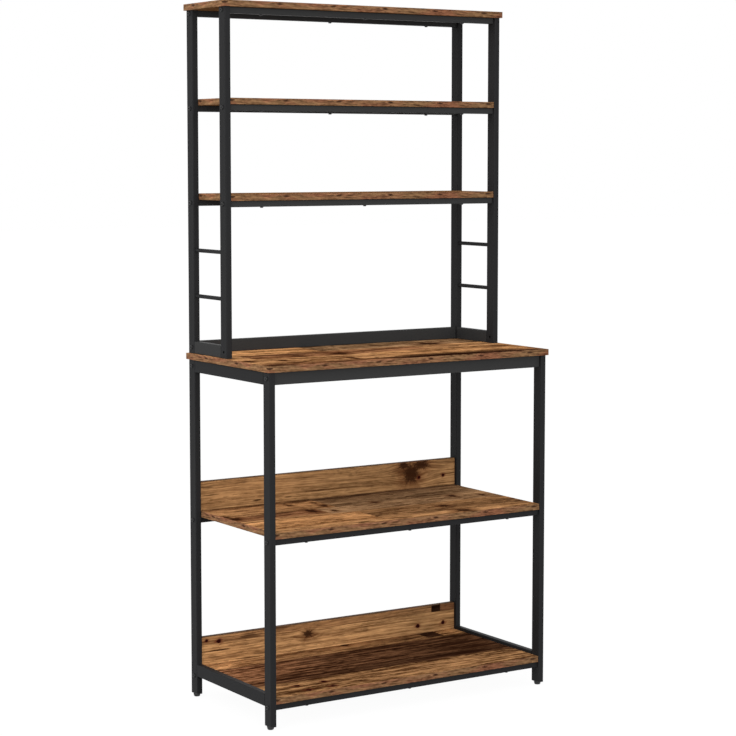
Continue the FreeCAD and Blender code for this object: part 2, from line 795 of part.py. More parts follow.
shelf_screw = screw_pattern("shelf_screw_pattern", shelf_screw_length)
shelf_screw_places = []
for levels, rows in ((BASE_LEVELS, base_rows), (HUTCH_LEVELS, hutch_rows)):
    for board_top in levels.values():
        crown_z = under_rail(board_top)
        shelf_screw_places += [(shelf_screw, UPWARD, (x, y, crown_z)) for y in rows for x in screw_lines_x]
group("shelf_screws", shelf_screw_places)

worktop_screw = screw_pattern("worktop_screw_pattern", worktop_screw_length)
worktop_screw_z = formula(f"{worktop_top} - board_thickness - tube_wall - screw_head_height")
group("worktop_screws", [
    (worktop_screw, UPWARD, (x, y, worktop_screw_z)) for y in base_rows for x in screw_lines_x
])

back_screw = screw_pattern("back_screw_pattern", back_screw_length)
group("back_board_screws", [
    (back_screw, UPWARD, (x, rear_post_y, under_rail(top)))
    for top in BASE_LEVELS.values()
    for x in back_screw_lines_x
])


# Every object has to be sound before anything is written

doc.recompute()
for item in doc.Objects:
    if "Invalid" in item.State or "Error" in item.State:
        raise RuntimeError(f"{item.Label} did not build: {item.State}")
for label, piece in parts.items():
    if piece.Shape.isNull() or not piece.Shape.isValid():
        raise RuntimeError(f"{label} has no sound shape")

os.makedirs("parts", exist_ok=True)
for label, piece in parts.items():
    piece.Shape.exportStep(f"parts/{label}.step")
print(f"{len(parts)} parts written")
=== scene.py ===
# %% [markdown]
# A kitchen shelf, dressed in Blender
#
# The steel tubes, rods and feet of this shelf come from a CAD model, which fixes every size and every
# joint. Blender adds what the eye needs: the printed wood of the boards with its edge banding, the
# powder coat on the steel, the turned heads of the bolts and screws, and the moulded feet.
# This first cell loads the CAD model and its record, and part_box reads the box of any piece.

# %% Load the frame
import json
import math

import bpy
from mathutils import Matrix, Vector


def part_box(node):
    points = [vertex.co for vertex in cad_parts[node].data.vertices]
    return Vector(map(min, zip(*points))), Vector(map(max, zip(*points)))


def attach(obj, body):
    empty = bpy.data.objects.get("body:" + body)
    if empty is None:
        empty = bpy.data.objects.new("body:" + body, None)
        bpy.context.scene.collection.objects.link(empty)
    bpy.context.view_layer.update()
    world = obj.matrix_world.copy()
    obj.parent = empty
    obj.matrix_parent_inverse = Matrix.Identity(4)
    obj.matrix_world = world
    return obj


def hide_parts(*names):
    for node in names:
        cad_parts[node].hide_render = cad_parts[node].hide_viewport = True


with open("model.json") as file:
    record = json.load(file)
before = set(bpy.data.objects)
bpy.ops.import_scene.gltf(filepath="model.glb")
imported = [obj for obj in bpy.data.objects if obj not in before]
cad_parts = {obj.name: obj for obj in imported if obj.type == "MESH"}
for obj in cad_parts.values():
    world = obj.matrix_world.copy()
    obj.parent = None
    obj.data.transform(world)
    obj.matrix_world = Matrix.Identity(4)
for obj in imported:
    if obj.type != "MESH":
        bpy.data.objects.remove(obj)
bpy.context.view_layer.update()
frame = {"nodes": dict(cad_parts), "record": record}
nodes = frame["nodes"]
MM = 0.001


# %% [markdown]
# Shader maths in Python
#
# Every finish below is drawn by shader nodes. Wiring hundreds of nodes by hand is slow to read, so one
# small class stands for a socket: adding or multiplying two of them adds the Math node that does it,
# and a formula then reads like a formula.

# %% Sockets that can be calculated with


class Field:
    """A value that varies over a surface: one output socket of a drawing."""

    def __init__(self, drawing, socket):
        self.drawing = drawing
        self.socket = socket

    def math(self, operation, *operands):
        return self.drawing.node("ShaderNodeMath", {"operation": operation}, dict(enumerate(operands)))

    def __add__(self, other):
        return self.math("ADD", self, other)

    def __radd__(self, other):
        return self.math("ADD", other, self)

    def __sub__(self, other):
        return self.math("SUBTRACT", self, other)

    def __rsub__(self, other):
        return self.math("SUBTRACT", other, self)

    def __mul__(self, other):
        return self.math("MULTIPLY", self, other)

    def __rmul__(self, other):
        return self.math("MULTIPLY", other, self)

    def __gt__(self, other):
        return self.math("GREATER_THAN", self, other)

    def __lt__(self, other):
        return self.math("LESS_THAN", self, other)

    def __abs__(self):
        return self.math("ABSOLUTE", self)

    def least(self, other):
        return self.math("MINIMUM", self, other)

    def most(self, other):
        return self.math("MAXIMUM", self, other)

    def repeated(self, length):
        """The value counted again from zero after each length."""
        return self.math("FLOORED_MODULO", self, length)

    def between(self, low, high):
        """Low where the value is 0, high where it is 1, and even in between."""
        return low + (high - low) * self

    def ramp(self, start, end, low=0.0, high=1.0):
        """A smooth step: low up to start, high from end on."""
        inputs = {"Value": self, "From Min": start, "From Max": end, "To Min": low, "To Max": high}
        return self.drawing.node("ShaderNodeMapRange", {"interpolation_type": "SMOOTHSTEP"}, inputs)


print("sockets that add, multiply and compare")


# %% [markdown]
# Drawings made of nodes
#
# A drawing is the node tree that the sockets belong to. Its one node method makes any kind of node:
# first its settings, because they can change which sockets the node has, then a value or a link for
# each socket. That could be written out for every node, but it would take four lines each time.

# %% Drawings


class Drawing:
    """A node tree of a finish or of the sky."""

    def __init__(self, tree):
        self.tree = tree

    def node(self, kind, settings, inputs, output=0):
        """Add a node: its settings first, then a value or a link for each named socket."""
        made = self.tree.nodes.new(kind)
        for name, value in settings.items():
            setattr(made, name, value)
        for key, value in inputs.items():
            if isinstance(value, Field):
                self.tree.links.new(value.socket, made.inputs[key])
            else:
                made.inputs[key].default_value = value
        return Field(self, made.outputs[output])

    def lead(self, field, node, socket):
        """Lead a value into a node that the tree has from the start."""
        self.tree.links.new(field.socket, self.tree.nodes[node].inputs[socket])

    def looked_at(self):
        """1 where the camera looks, also in a mirror or through glass, and 0 for light on its way."""
        kinds = ("Is Camera Ray", "Is Glossy Ray", "Is Transmission Ray")
        camera, mirror, glass = [self.node("ShaderNodeLightPath", {}, {}, kind) for kind in kinds]
        return camera.most(mirror).most(glass)


print("a drawing makes nodes of any kind")


# %% [markdown]
# What every finish shares
#
# A finish is a material with one Principled shader. It reads Object coordinates, which are metres in
# the shelf's own frame here, so a pattern keeps its real size and stays on its piece from every side.
# Cloudy noise is the base of all of them, and colours are mixed by their own nodes, because a Math
# node would turn them grey. Noise rarely reaches 0 or 1, so full noise stretches the part of its range
# where it mostly lies.

# %% Finishes

NOISE_ROUGHNESS = 0.55
NOISE_RANGE = (0.3, 0.7)


class Finish(Drawing):
    """A material under construction, with its Principled shader."""

    def __init__(self, name, **constants):
        self.material = bpy.data.materials.new(name)
        self.material.use_nodes = True
        super().__init__(self.material.node_tree)
        self.shader = self.tree.nodes["Principled BSDF"]
        for socket, value in constants.items():
            self.shader.inputs[socket.replace("_", " ")].default_value = value

    def feed(self, socket, field):
        self.lead(field, self.shader.name, socket)

    def place(self):
        """The surface point in the shelf's frame, as three values in metres."""
        point = self.node("ShaderNodeTexCoord", {}, {}, "Object")
        return [self.node("ShaderNodeSeparateXYZ", {}, {0: point}, axis) for axis in "XYZ"]

    def point(self, x, y, z):
        return self.node("ShaderNodeCombineXYZ", {}, {"X": x, "Y": y, "Z": z})

    def vector(self, operation, *operands, output=0):
        settings = {"operation": operation}
        return self.node("ShaderNodeVectorMath", settings, dict(enumerate(operands)), output)

    def distance(self, u, v):
        """How far a point in a plane lies from the origin."""
        return self.vector("LENGTH", self.point(u, v, 0.0), output="Value")

    def noise(self, point, detail):
        """Cloudy noise from 0 to 1 about a half, one cloud to each unit of the point."""
        inputs = {"Vector": point, "Scale": 1.0, "Detail": detail, "Roughness": NOISE_ROUGHNESS}
        return self.node("ShaderNodeTexNoise", {"noise_dimensions": "3D"}, inputs, "Fac")

    def full_noise(self, point, detail):
        """The same noise stretched, so that it mostly fills the range from 0 to 1."""
        return self.noise(point, detail).ramp(*NOISE_RANGE)

    def clouds(self, per_metre, detail):
        """Noise that is alike in all directions, with so many clouds to a metre."""
        return self.noise(self.point(*[axis * per_metre for axis in self.place()]), detail)

    def blend(self, factor, under, over):
        """Colour under, covered by colour over as far as the factor says."""
        # a Mix node takes its two colours on sockets 6 and 7, and gives a colour on output 2
        settings = {"data_type": "RGBA", "blend_type": "MIX"}
        return self.node("ShaderNodeMix", settings, {0: factor, 6: under, 7: over}, 2)

    def shade(self, tone, strength):
        """A colour made darker or lighter by a value."""
        channels = tone if isinstance(tone, Field) else tone[:3]
        return self.node("ShaderNodeVectorMath", {"operation": "SCALE"}, {0: channels, "Scale": strength})

    def bump(self, height, distance, strength):
        """Raise the surface by a height from 0 to 1, to a distance in metres."""
        inputs = {"Height": height, "Distance": distance, "Strength": strength}
        self.feed("Normal", self.node("ShaderNodeBump", {}, inputs))


def colour(red, green, blue):
    """A shader colour from the 0 to 255 levels that a screen shows, by the sRGB curve."""
    levels = [level / 255 for level in (red, green, blue)]
    linear = [v / 12.92 if v <= 0.04045 else ((v + 0.055) / 1.055) ** 2.4 for v in levels]
    return (*linear, 1.0)


print("a finish reads Object coordinates, in metres")


# %% [markdown]
# Powder coat on the tubes
#
# The frame is sprayed with charcoal powder and baked. The coat is dull, with a fine pebbled skin, and
# it is a shade uneven from place to place. A picture of a coat could be wrapped round the tubes, but
# noise has no seams: a fine one lifts the surface for the pebbles, and a broad one moves the colour
# and the roughness a little. The guards and the upper cross rails have a second, lighter coat, which is
# painted light: it lifts the shade that falls on them under the boards.

# %% Powder coat

CLOUDS_PER_METRE = 9.0
CLOUD_DETAIL = 4.0
PEBBLE_DETAIL = 2.0
PEBBLE_HEIGHT = 0.06 * MM
PEBBLE_STRENGTH = 0.2
SHADE_LEAST, SHADE_BY_CLOUD, SHADE_BY_PEBBLE = 0.9, 0.16, 0.04
ROUGH_OFFSET, ROUGH_BY_CLOUD, ROUGH_BY_PEBBLE = -0.06, 0.08, 0.06


def coated_steel(name, tone, roughness, pebble, shine):
    """A baked coat: its tone, the roughness about which it varies, the size of its pebbles and its shine."""
    finish = Finish(name, Specular_IOR_Level=shine)
    skin = finish.clouds(1 / pebble, PEBBLE_DETAIL)
    cloud = finish.clouds(CLOUDS_PER_METRE, CLOUD_DETAIL)
    strength = SHADE_LEAST + SHADE_BY_CLOUD * cloud + SHADE_BY_PEBBLE * skin
    finish.feed("Base Color", finish.shade(tone, strength))
    finish.feed("Roughness", roughness + ROUGH_OFFSET + ROUGH_BY_CLOUD * cloud + ROUGH_BY_PEBBLE * skin)
    finish.bump(skin, PEBBLE_HEIGHT, PEBBLE_STRENGTH)
    return finish.material


powder = {"roughness": 0.48, "pebble": 0.9 * MM, "shine": 0.06}
lacquer = {"roughness": 0.34, "pebble": 0.5 * MM, "shine": 0.3}
charcoal_coat = coated_steel("charcoal_powder_coat", colour(36, 36, 37), **powder)
# painted light: the guards and upper cross rails take this lighter coat, which lifts the shade under the
# boards
painted_light_rail_coat = coated_steel("rail_powder_coat_painted_light", colour(51, 51, 51), **powder)
black_coat = coated_steel("black_fastener_coat", colour(27, 27, 28), **lacquer)
print("coats:", charcoal_coat.name, painted_light_rail_coat.name, black_coat.name)


# %% [markdown]
# Zinc and moulded plastic
#
# The studs of the feet and the parts inside the rails are zinc plated: a bright metal whose crystals
# break the reflection up. The foot pads and the leg inserts are moulded in black plastic with a fine
# spark-eroded grain, which is a bump far smaller than the pebbles of the coat. Plain colours would do
# for such small pieces, but in a close-up they would look like wax.

# %% Zinc and plastic

ZINC = colour(196, 198, 202)
ZINC_SHADE = (0.82, 1.12)
ZINC_ROUGHNESS = (0.24, 0.46)
CRYSTALS_PER_METRE = 700.0
CRYSTAL_DETAIL = 3.0
PLASTIC = colour(30, 30, 31)
PLASTIC_SHADE = (0.85, 1.15)
PLASTIC_ROUGHNESS = (0.48, 0.64)
PLASTIC_SHINE = 0.4
SPARKS_PER_METRE = 2600.0
SPARK_DETAIL = 2.0
SPARK_HEIGHT = 0.03 * MM
SPARK_STRENGTH = 0.6


def zinc_plate():
    finish = Finish("zinc_plate", Metallic=1.0)
    crystals = finish.clouds(CRYSTALS_PER_METRE, CRYSTAL_DETAIL)
    finish.feed("Base Color", finish.shade(ZINC, crystals.between(*ZINC_SHADE)))
    finish.feed("Roughness", crystals.between(*ZINC_ROUGHNESS))
    return finish.material


def moulded_plastic():
    finish = Finish("moulded_black_plastic", Specular_IOR_Level=PLASTIC_SHINE)
    sparks = finish.clouds(SPARKS_PER_METRE, SPARK_DETAIL)
    finish.feed("Base Color", finish.shade(PLASTIC, sparks.between(*PLASTIC_SHADE)))
    finish.feed("Roughness", sparks.between(*PLASTIC_ROUGHNESS))
    finish.bump(sparks, SPARK_HEIGHT, SPARK_STRENGTH)
    return finish.material


zinc = zinc_plate()
black_plastic = moulded_plastic()
print("plain finishes:", zinc.name, black_plastic.name)


# %% [markdown]
# The printed wood
#
# The boards are chipboard under a printed film that shows old planks laid side by side: honey, oak,
# grey and dark ones, with cracks, knots and nail holes. A picture of planks would blur in a close-up,
# so the print is drawn. Each plank takes one of a few woods, made darker or lighter.

# %% Woods

WOOD = {
    "tan": colour(170, 127, 84),
    "honey": colour(172, 123, 79),
    "oak": colour(156, 113, 74),
    "russet": colour(140, 95, 63),
    "grey": colour(142, 108, 76),
    "umber": colour(98, 65, 43),
    "peat": colour(60, 38, 25),
}


def toned(wood, level):
    """The tone of a wood, made darker or lighter by a level."""
    return tuple(channel * level for channel in WOOD[wood])


print(len(WOOD), "woods")


# %% [markdown]
# Planks and their fibres
#
# The film is drawn in the board's own plane, one axis along the grain and one across. Each plank is a
# rectangle with its own tone, and its number shifts the grain, so that no two planks share their
# fibres. The film on the far face of a board is another length of the same print, so there the pattern
# is turned end for end and moved along.

# %% Planks and fibres

# length and width in millimetres, detail of the noise, and step of the plank's number
FIBRES = {
    "bands": (420, 26, 2.0, 0.0),
    "streaks": (150, 10, 3.0, 1.3),
    "lines": (90, 4, 3.0, 2.6),
    "hairs": (22, 1.6, 2.0, 3.9),
    "mottle": (34, 12, 4.0, 5.1),
    "dashes": (20, 6.0, 2.0, 6.2),
    "pores": (15, 1.1, 1.0, 7.4),
    "cracks": (130, 6.5, 3.0, 8.8),
}
# blots to a metre along and across the grain, step of the seed, and detail of the noise
WANDER_BLOTS = (3.0, 16.0, 0.5, 2.0)
JOINT_BLOTS = (22.0, 90.0, 1.5, 3.0)
WANDER = 12.0 * MM
FAR_FACE_SHIFT = 170.0 * MM
FAR_FACE_SEED = 31.0
BULGE_CORE, BULGE_PULL = 0.2, 0.8
JOINT_CORE, JOINT_RIM = 0.2 * MM, 1.6 * MM
JOINT_RAG = 1.2
PLANK_SEED = 5.3


def lie_of(node):
    """The corners and the middle of a board's box, and whether the board stands upright."""
    low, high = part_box(node)
    return low, high, (low + high) / 2, high.z - low.z > high.y - low.y


class Film(Finish):
    """A printed plank pattern on one board, drawn in metres along and across the grain."""

    def __init__(self, node, seed, bulges):
        super().__init__(f"{node}_film", Specular_IOR_Level=0.0)
        middle, upright = lie_of(node)[2:]
        x, y, z = self.place()
        far_face = y > middle.y if upright else z < middle.z
        self.along = x * (1 - 2 * far_face) + FAR_FACE_SHIFT * far_face
        self.across = z if upright else y
        self.seed = seed + FAR_FACE_SEED * far_face
        self.wavy = self.across + WANDER * self.blots(*WANDER_BLOTS)
        for along, across, length, width in bulges:
            near = self.away(along, across, length, width).ramp(BULGE_CORE, 1.0, BULGE_PULL, 0.0)
            self.wavy = self.wavy - (self.across - across) * near

    def blots(self, per_along, per_across, step, detail):
        """Noise about zero, so many blots to a metre along and across the grain."""
        point = self.point(self.along * per_along, self.across * per_across, self.seed + step)
        return self.noise(point, detail) - 0.5

    def offset(self, along, across, length, width):
        """Where a point lies from a mark's centre, in half lengths and half widths of the mark."""
        return (self.along - along) * (1 / length), (self.across - across) * (1 / width)

    def away(self, along, across, length, width, rag=(0.0, 0.0)):
        """Distance from a mark's centre, 1 at its rim; the rag makes the rim uneven."""
        u, v = self.offset(along, across, length, width)
        return self.distance(u + rag[0], v + rag[1])

    def fibres(self, kind, number, drawn=1.0, wide=1.0):
        """Noise drawn out along the grain, different on every plank, mostly from 0 to 1."""
        length, width, detail, step = FIBRES[kind]
        along = self.along * (1 / (length * drawn * MM))
        across = self.wavy * (1 / (width * wide * MM))
        return self.full_noise(self.point(along, across, number + step), detail)

    def planks(self, ground, rows, soft):
        """The tone, the number and the joints of planks given as (wood, level, left, right, front, rear)."""
        rag = self.blots(*JOINT_BLOTS)
        tone = toned(*ground)
        number = self.seed
        joints = 0.0
        for count, (wood, level, left, right, front, rear) in enumerate(rows, 1):
            edge = (self.along - left).least(right - self.along)
            edge = edge.least((self.wavy - front).least(rear - self.wavy)) + rag * (soft * JOINT_RAG)
            inside = edge.ramp(-soft, soft)
            tone = self.blend(inside, tone, toned(wood, level))
            number = (edge > 0.0) * (PLANK_SEED * count) + number
            joint = abs(edge).ramp(JOINT_CORE, JOINT_RIM, 1.0, 0.0)
            joints = (joints * (1 - inside)).most(joint)
        return tone, number, joints


print(len(FIBRES), "kinds of fibres")


# %% [markdown]
# Marks on the wood
#
# Three kinds of marks lie on the planks. A streak is a long ragged ellipse. A knot has a dark heart,
# rays that run out into the wood and break up into specks, and a brown stain round it: the rays are
# noise that is read by direction alone, so that it is the same all along each ray. A nail hole is a
# small ragged spot with rust that has crept along the grain. Each could be painted by hand, but as
# noise it takes only a place and a size.

# %% Streaks, knots and nail holes

CRACK = colour(42, 20, 10)
STAIN = colour(96, 54, 30)
NAIL = colour(40, 10, 9)
RUST = colour(96, 40, 27)
RAG_BLOTS = [(70.0, 150.0, 3.0, 4.0), (70.0, 150.0, 9.0, 4.0)]
SPECK_BLOTS = (280.0, 360.0, 5.0, 2.0)
RAY_SPREAD = (2.4, 2.4, 2.4)
RAY_DETAIL = 2.0
KNOT_SEED_ALONG, KNOT_SEED_ACROSS = 37, 53
HEART_RAYS, HEART_SPECKS, HEART_CORE = (0.7, 1.3), 1.1, 0.45
STAIN_RAYS, STAIN_CORE, STAIN_RIM = (0.7, 1.2), 0.6, 2.0
RUST_LENGTH, RUST_WIDTH, RUST_STRENGTH = 2.6, 1.7, 0.8
RUST_RAG, RUST_CORE = 1.8, 0.1
HOLE_LENGTH, HOLE_RAG, HOLE_CORE = 1.1, 0.9, 0.6


def most_of(fields):
    """The largest of several values at each point."""
    found = fields[0]
    for field in fields[1:]:
        found = found.most(field)
    return found


class MarkedFilm(Film):
    """A film with the marks that show on one board."""

    def __init__(self, node, seed, bulges):
        super().__init__(node, seed, bulges)
        self.rag = [self.blots(*blots) for blots in RAG_BLOTS]
        self.speck = self.blots(*SPECK_BLOTS)

    def spots(self, rows, rag, core, fray=0.0):
        """Ragged ellipses given as (along, across, half length, half width, strength)."""
        rags = [rag * unevenness for unevenness in self.rag]
        found = []
        for along, across, length, width, strength in rows:
            away = self.away(along, across, length, width, rags)
            found.append((away + fray).ramp(core, 1.0, strength, 0.0))
        return most_of(found)

    def knots(self, rows):
        """The dark hearts and the stains of knots given as (along, across, half length, half width)."""
        hearts = []
        stains = []
        for along, across, length, width in rows:
            u, v = self.offset(along, across, length, width)
            away = self.distance(u, v)
            direction = self.vector("NORMALIZE", self.point(u, v, 0.0))
            seed = (KNOT_SEED_ALONG * along, KNOT_SEED_ACROSS * across, 0)
            around = self.vector("MULTIPLY_ADD", direction, RAY_SPREAD, seed)
            rays = self.full_noise(around, RAY_DETAIL)
            heart = away * rays.between(*HEART_RAYS) + HEART_SPECKS * self.speck
            stain = away * rays.between(*STAIN_RAYS)
            hearts.append(heart.ramp(HEART_CORE, 1.0, 1.0, 0.0))
            stains.append(stain.ramp(STAIN_CORE, STAIN_RIM, 1.0, 0.0))
        return most_of(hearts), most_of(stains)

    def nailed(self, wood, rows):
        """The wood with rusty nail holes given as (along, across, radius)."""
        rust = [(u, v, RUST_LENGTH * radius, RUST_WIDTH * radius, RUST_STRENGTH) for u, v, radius in rows]
        holes = [(u, v, HOLE_LENGTH * radius, radius, 1.0) for u, v, radius in rows]
        wood = self.blend(self.spots(rust, RUST_RAG, RUST_CORE), wood, RUST)
        return self.blend(self.spots(holes, HOLE_RAG, HOLE_CORE), wood, NAIL)


print("marks: streaks, knots, nail holes")


# %% [markdown]
# The film of one board
#
# Five layers of drawn-out noise add up to the grain: broad bands, streaks, lines, hairs and mottles.
# Their sum blends each plank between a deep and a pale shade of its tone. Dark dashes and cracks are
# the same noise cut off high up. The marks come last, on top of everything, as they do on old planks.
# One function draws every board, so that the boards differ only in what lies on them.

# %% Printed wood

DEEP_GRAIN = (0.25, 0.19, 0.15)
PALE_GRAIN = (1.7, 1.76, 1.8)
GRAIN = (0.36, 0.46, 0.36, 0.26, 0.44)
SHADE_CORE = 0.2
DASH_CUT, DASH_BANDS = (0.66, 0.9), (0.2, 0.6)
CRACK_CUT, CRACK_STRENGTH = (0.74, 0.92), 0.97
PORE_CUT, PORE_STRENGTH = (0.7, 0.95), 0.5
STREAK_RAG, STREAK_CORE, STREAK_DEPTH = 0.5, 0.6, (0.94, 1.0)
FRAY_BY_LINES, FRAY_BY_STREAKS = 0.9, 0.6
STAIN_STRENGTH, HEART_DEPTH = 0.6, (0.85, 1.0)
FILM_ROUGHNESS, ROUGH_BY_HAIRS, ROUGH_BY_DARK = 0.62, 0.12, 0.1
RELIEF_BY_HAIRS, RELIEF_BY_LINES, RELIEF_BY_DARK = 0.5, 0.4, 0.8
FILM_RELIEF, FILM_RELIEF_STRENGTH = 0.12 * MM, 0.5


def grained(finish, tone, level):
    """A tone between its deep and its pale shade, as the level of the grain says."""
    deep = finish.vector("MULTIPLY", tone, DEEP_GRAIN)
    pale = finish.vector("MULTIPLY", tone, PALE_GRAIN)
    return finish.blend(level, deep, pale)


def printed_wood(node, ground, rows, seed, soft=4.0 * MM, grain=GRAIN, wide=1.0, drawn=1.0, joint=0.35,
                 specks=0.7, shades=(), streaks=(), knots=(), nails=(), bulges=()):
    """The film of one board: planks on a ground, fibres and cracks, then the marks that show on it."""
    film = MarkedFilm(node, seed, bulges)
    tone, number, joints = film.planks(ground, rows, soft)
    for along, across, length, width, change in shades:
        tone = film.shade(tone, film.away(along, across, length, width).ramp(SHADE_CORE, 1.0, change, 1.0))
    bands = film.fibres("bands", number, wide=wide)
    streaky = film.fibres("streaks", number, drawn, wide)
    lines = film.fibres("lines", number, drawn)
    hairs = film.fibres("hairs", number, drawn)
    mottle = film.fibres("mottle", number, wide=wide)
    level = 0.5 - 0.5 * sum(grain)
    for share, layer in zip(grain, (bands, streaky, lines, hairs, mottle)):
        level = level + share * layer
    wood = grained(film, tone, level)
    dashes = film.fibres("dashes", number, wide=wide).ramp(*DASH_CUT) * (1 - bands).ramp(*DASH_BANDS)
    cracks = film.fibres("cracks", number, wide=wide).ramp(*CRACK_CUT)
    pores = film.fibres("pores", number).ramp(*PORE_CUT) * PORE_STRENGTH
    dark = (most_of([dashes, cracks, pores]) * specks).most(joints * joint)
    if streaks:
        fray = FRAY_BY_LINES * (lines - 0.5) + FRAY_BY_STREAKS * (streaky - 0.5)
        dark = dark.most(film.spots(streaks, STREAK_RAG, STREAK_CORE, fray) * streaky.between(*STREAK_DEPTH))
    if knots:
        hearts, stains = film.knots(knots)
        wood = film.blend(stains * STAIN_STRENGTH, wood, STAIN)
        dark = dark.most(hearts * lines.between(*HEART_DEPTH))
    wood = film.blend(dark * CRACK_STRENGTH, wood, CRACK)
    if nails:
        wood = film.nailed(wood, nails)
    film.feed("Base Color", wood)
    film.feed("Roughness", FILM_ROUGHNESS + ROUGH_BY_HAIRS * hairs + ROUGH_BY_DARK * dark)
    relief = RELIEF_BY_HAIRS * hairs + RELIEF_BY_LINES * lines - RELIEF_BY_DARK * dark
    film.bump(relief, FILM_RELIEF, FILM_RELIEF_STRENGTH)
    return film.material


print("grain of", len(GRAIN), "layers")


# %% [markdown]
# Which planks lie on the worktop
#
# The photograph shows the worktop at a flat angle, so only its broad marks can be placed: a long dark
# streak near the front, a knot at the rear right and a darker band across the middle. Places and sizes
# are metres in the shelf's frame. The first wood is the ground, each plank covers the ones before it,
# and a side that is out lies beyond the rim of every board.

# %% Film of the worktop

OUT = 0.5
films = {}
films["worktop"] = printed_wood(
    "worktop",
    ("oak", 1.55),
    [
        ("honey", 1.48, -OUT, -0.10, 0.050, OUT),
        ("grey", 1.28, -0.10, OUT, 0.060, OUT),
        ("russet", 1.2, -0.34, 0.16, -0.040, 0.050),
        ("honey", 1.16, -0.02, OUT, -0.150, -0.030),
        ("russet", 1.2, -OUT, OUT, -OUT, -0.160),
    ],
    seed=3.0,
    wide=2.2,
    shades=[(0.12, -0.185, 0.30, 0.070, 0.05)],
    streaks=[
        (0.11, -0.188, 0.22, 0.046, 1.0), (0.28, -0.190, 0.10, 0.030, 1.0),
        (-0.38, -0.180, 0.06, 0.036, 0.9), (-0.235, 0.026, 0.11, 0.022, 0.7),
        (0.06, 0.028, 0.085, 0.018, 0.7), (-0.2, -0.182, 0.10, 0.018, 0.7),
    ],
    knots=[
        (-0.097, -0.020, 0.028, 0.030), (0.236, 0.083, 0.040, 0.036), (-0.215, -0.022, 0.018, 0.022),
        (-0.38, -0.075, 0.014, 0.022), (-0.3, -0.095, 0.016, 0.020), (-0.13, -0.13, 0.012, 0.040),
    ],
)
print("film:", films["worktop"].name)


# %% [markdown]
# The two lower shelves
#
# The middle shelf is light, with small knots and a paler plank in its middle. The bottom shelf has
# dark streaky planks between two lighter ones, and four nail holes at its front left. Both are seen
# from further above than the worktop, so more of their marks can be placed.

# %% Films of the lower shelves

films["middle_shelf"] = printed_wood(
    "middle_shelf",
    ("oak", 1.4),
    [
        ("grey", 1.02, -0.07, OUT, 0.042, OUT),
        ("grey", 1.34, -0.13, OUT, -0.038, 0.042),
        ("russet", 1.14, -OUT, -0.13, -0.015, 0.042),
        ("honey", 1.42, -OUT, -0.06, -0.15, -0.045),
        ("oak", 0.98, -0.06, OUT, -0.15, -0.038),
    ],
    seed=11.0,
    wide=1.4,
    grain=(0.3, 0.4, 0.34, 0.28, 0.36),
    knots=[
        (0.167, -0.169, 0.027, 0.026), (0.162, -0.089, 0.024, 0.016), (-0.366, 0.022, 0.020, 0.026),
        (-0.372, 0.055, 0.010, 0.018), (-0.158, 0.119, 0.009, 0.014), (-0.086, 0.122, 0.010, 0.014),
        (-0.086, 0.072, 0.012, 0.020), (-0.152, 0.022, 0.018, 0.034), (-0.102, -0.003, 0.010, 0.016),
        (0.048, 0.048, 0.011, 0.013), (0.342, -0.003, 0.010, 0.016), (0.267, 0.025, 0.013, 0.020),
    ],
    streaks=[
        (-0.26, 0.04, 0.11, 0.009, 0.8), (0.2, -0.040, 0.13, 0.007, 0.6),
        # painted shade: the long streak at 0.160 across, 0.42 to each side, is the shadow along the foot of
        # the back board
        (0.0, 0.160, 0.42, 0.011, 0.8), (-0.13, -0.178, 0.035, 0.009, 0.9),
        (-0.019, -0.176, 0.035, 0.008, 0.9), (0.12, -0.142, 0.16, 0.005, 0.6),
    ],
)
films["bottom_shelf"] = printed_wood(
    "bottom_shelf",
    ("umber", 1.15),
    [
        ("oak", 0.98, -OUT, OUT, 0.113, OUT),
        ("peat", 1.5, 0.262, 0.312, 0.122, OUT),
        ("honey", 1.05, 0.312, OUT, 0.122, OUT),
        ("oak", 0.98, -OUT, OUT, -OUT, -0.081),
    ],
    seed=21.0,
    soft=3.0 * MM,
    specks=0.75,
    grain=(0.4, 0.95, 0.42, 0.3, 0.6),
    shades=[
        (0.40, 0.02, 0.48, 0.17, 0.6), (0.15, -0.058, 0.5, 0.035, 0.5), (-0.36, 0.05, 0.30, 0.13, 2.2),
        (0.2, 0.15, 0.2, 0.05, 0.75), (-0.38, 0.15, 0.16, 0.08, 1.5),
    ],
    streaks=[
        (-0.305, 0.108, 0.09, 0.008, 0.9), (0.2, -0.062, 0.24, 0.014, 0.8),
        (-0.240, -0.03, 0.045, 0.030, 0.75), (0.15, 0.095, 0.14, 0.011, 0.8),
        (0.3, 0.03, 0.12, 0.014, 0.8), (0.05, -0.004, 0.2, 0.009, 0.7),
        (-0.1, -0.080, 0.3, 0.005, 0.8), (-0.26, 0.055, 0.06, 0.008, 0.7),
        (-0.16, 0.015, 0.07, 0.009, 0.7), (-0.08, 0.075, 0.09, 0.008, 0.7),
        (0.0, -0.035, 0.1, 0.008, 0.7), (0.33, -0.02, 0.08, 0.02, 0.8),
    ],
    knots=[(0.034, 0.168, 0.016, 0.012)],
    nails=[
        (-0.280, -0.117, 0.0085), (-0.205, -0.119, 0.0085),
        (-0.277, -0.167, 0.0085), (-0.208, -0.167, 0.0085),
    ],
)
print("films:", films["middle_shelf"].name, films["bottom_shelf"].name)


# %% [markdown]
# The back boards
#
# Two low boards stop things from falling off behind. Their print is paler, with long straight lines.
# The grain flows round a knot, which is done by drawing the lines together towards the knot's middle
# before the noise is read. They stand upright, so here the height is the place across the grain.

# %% Films of the back boards

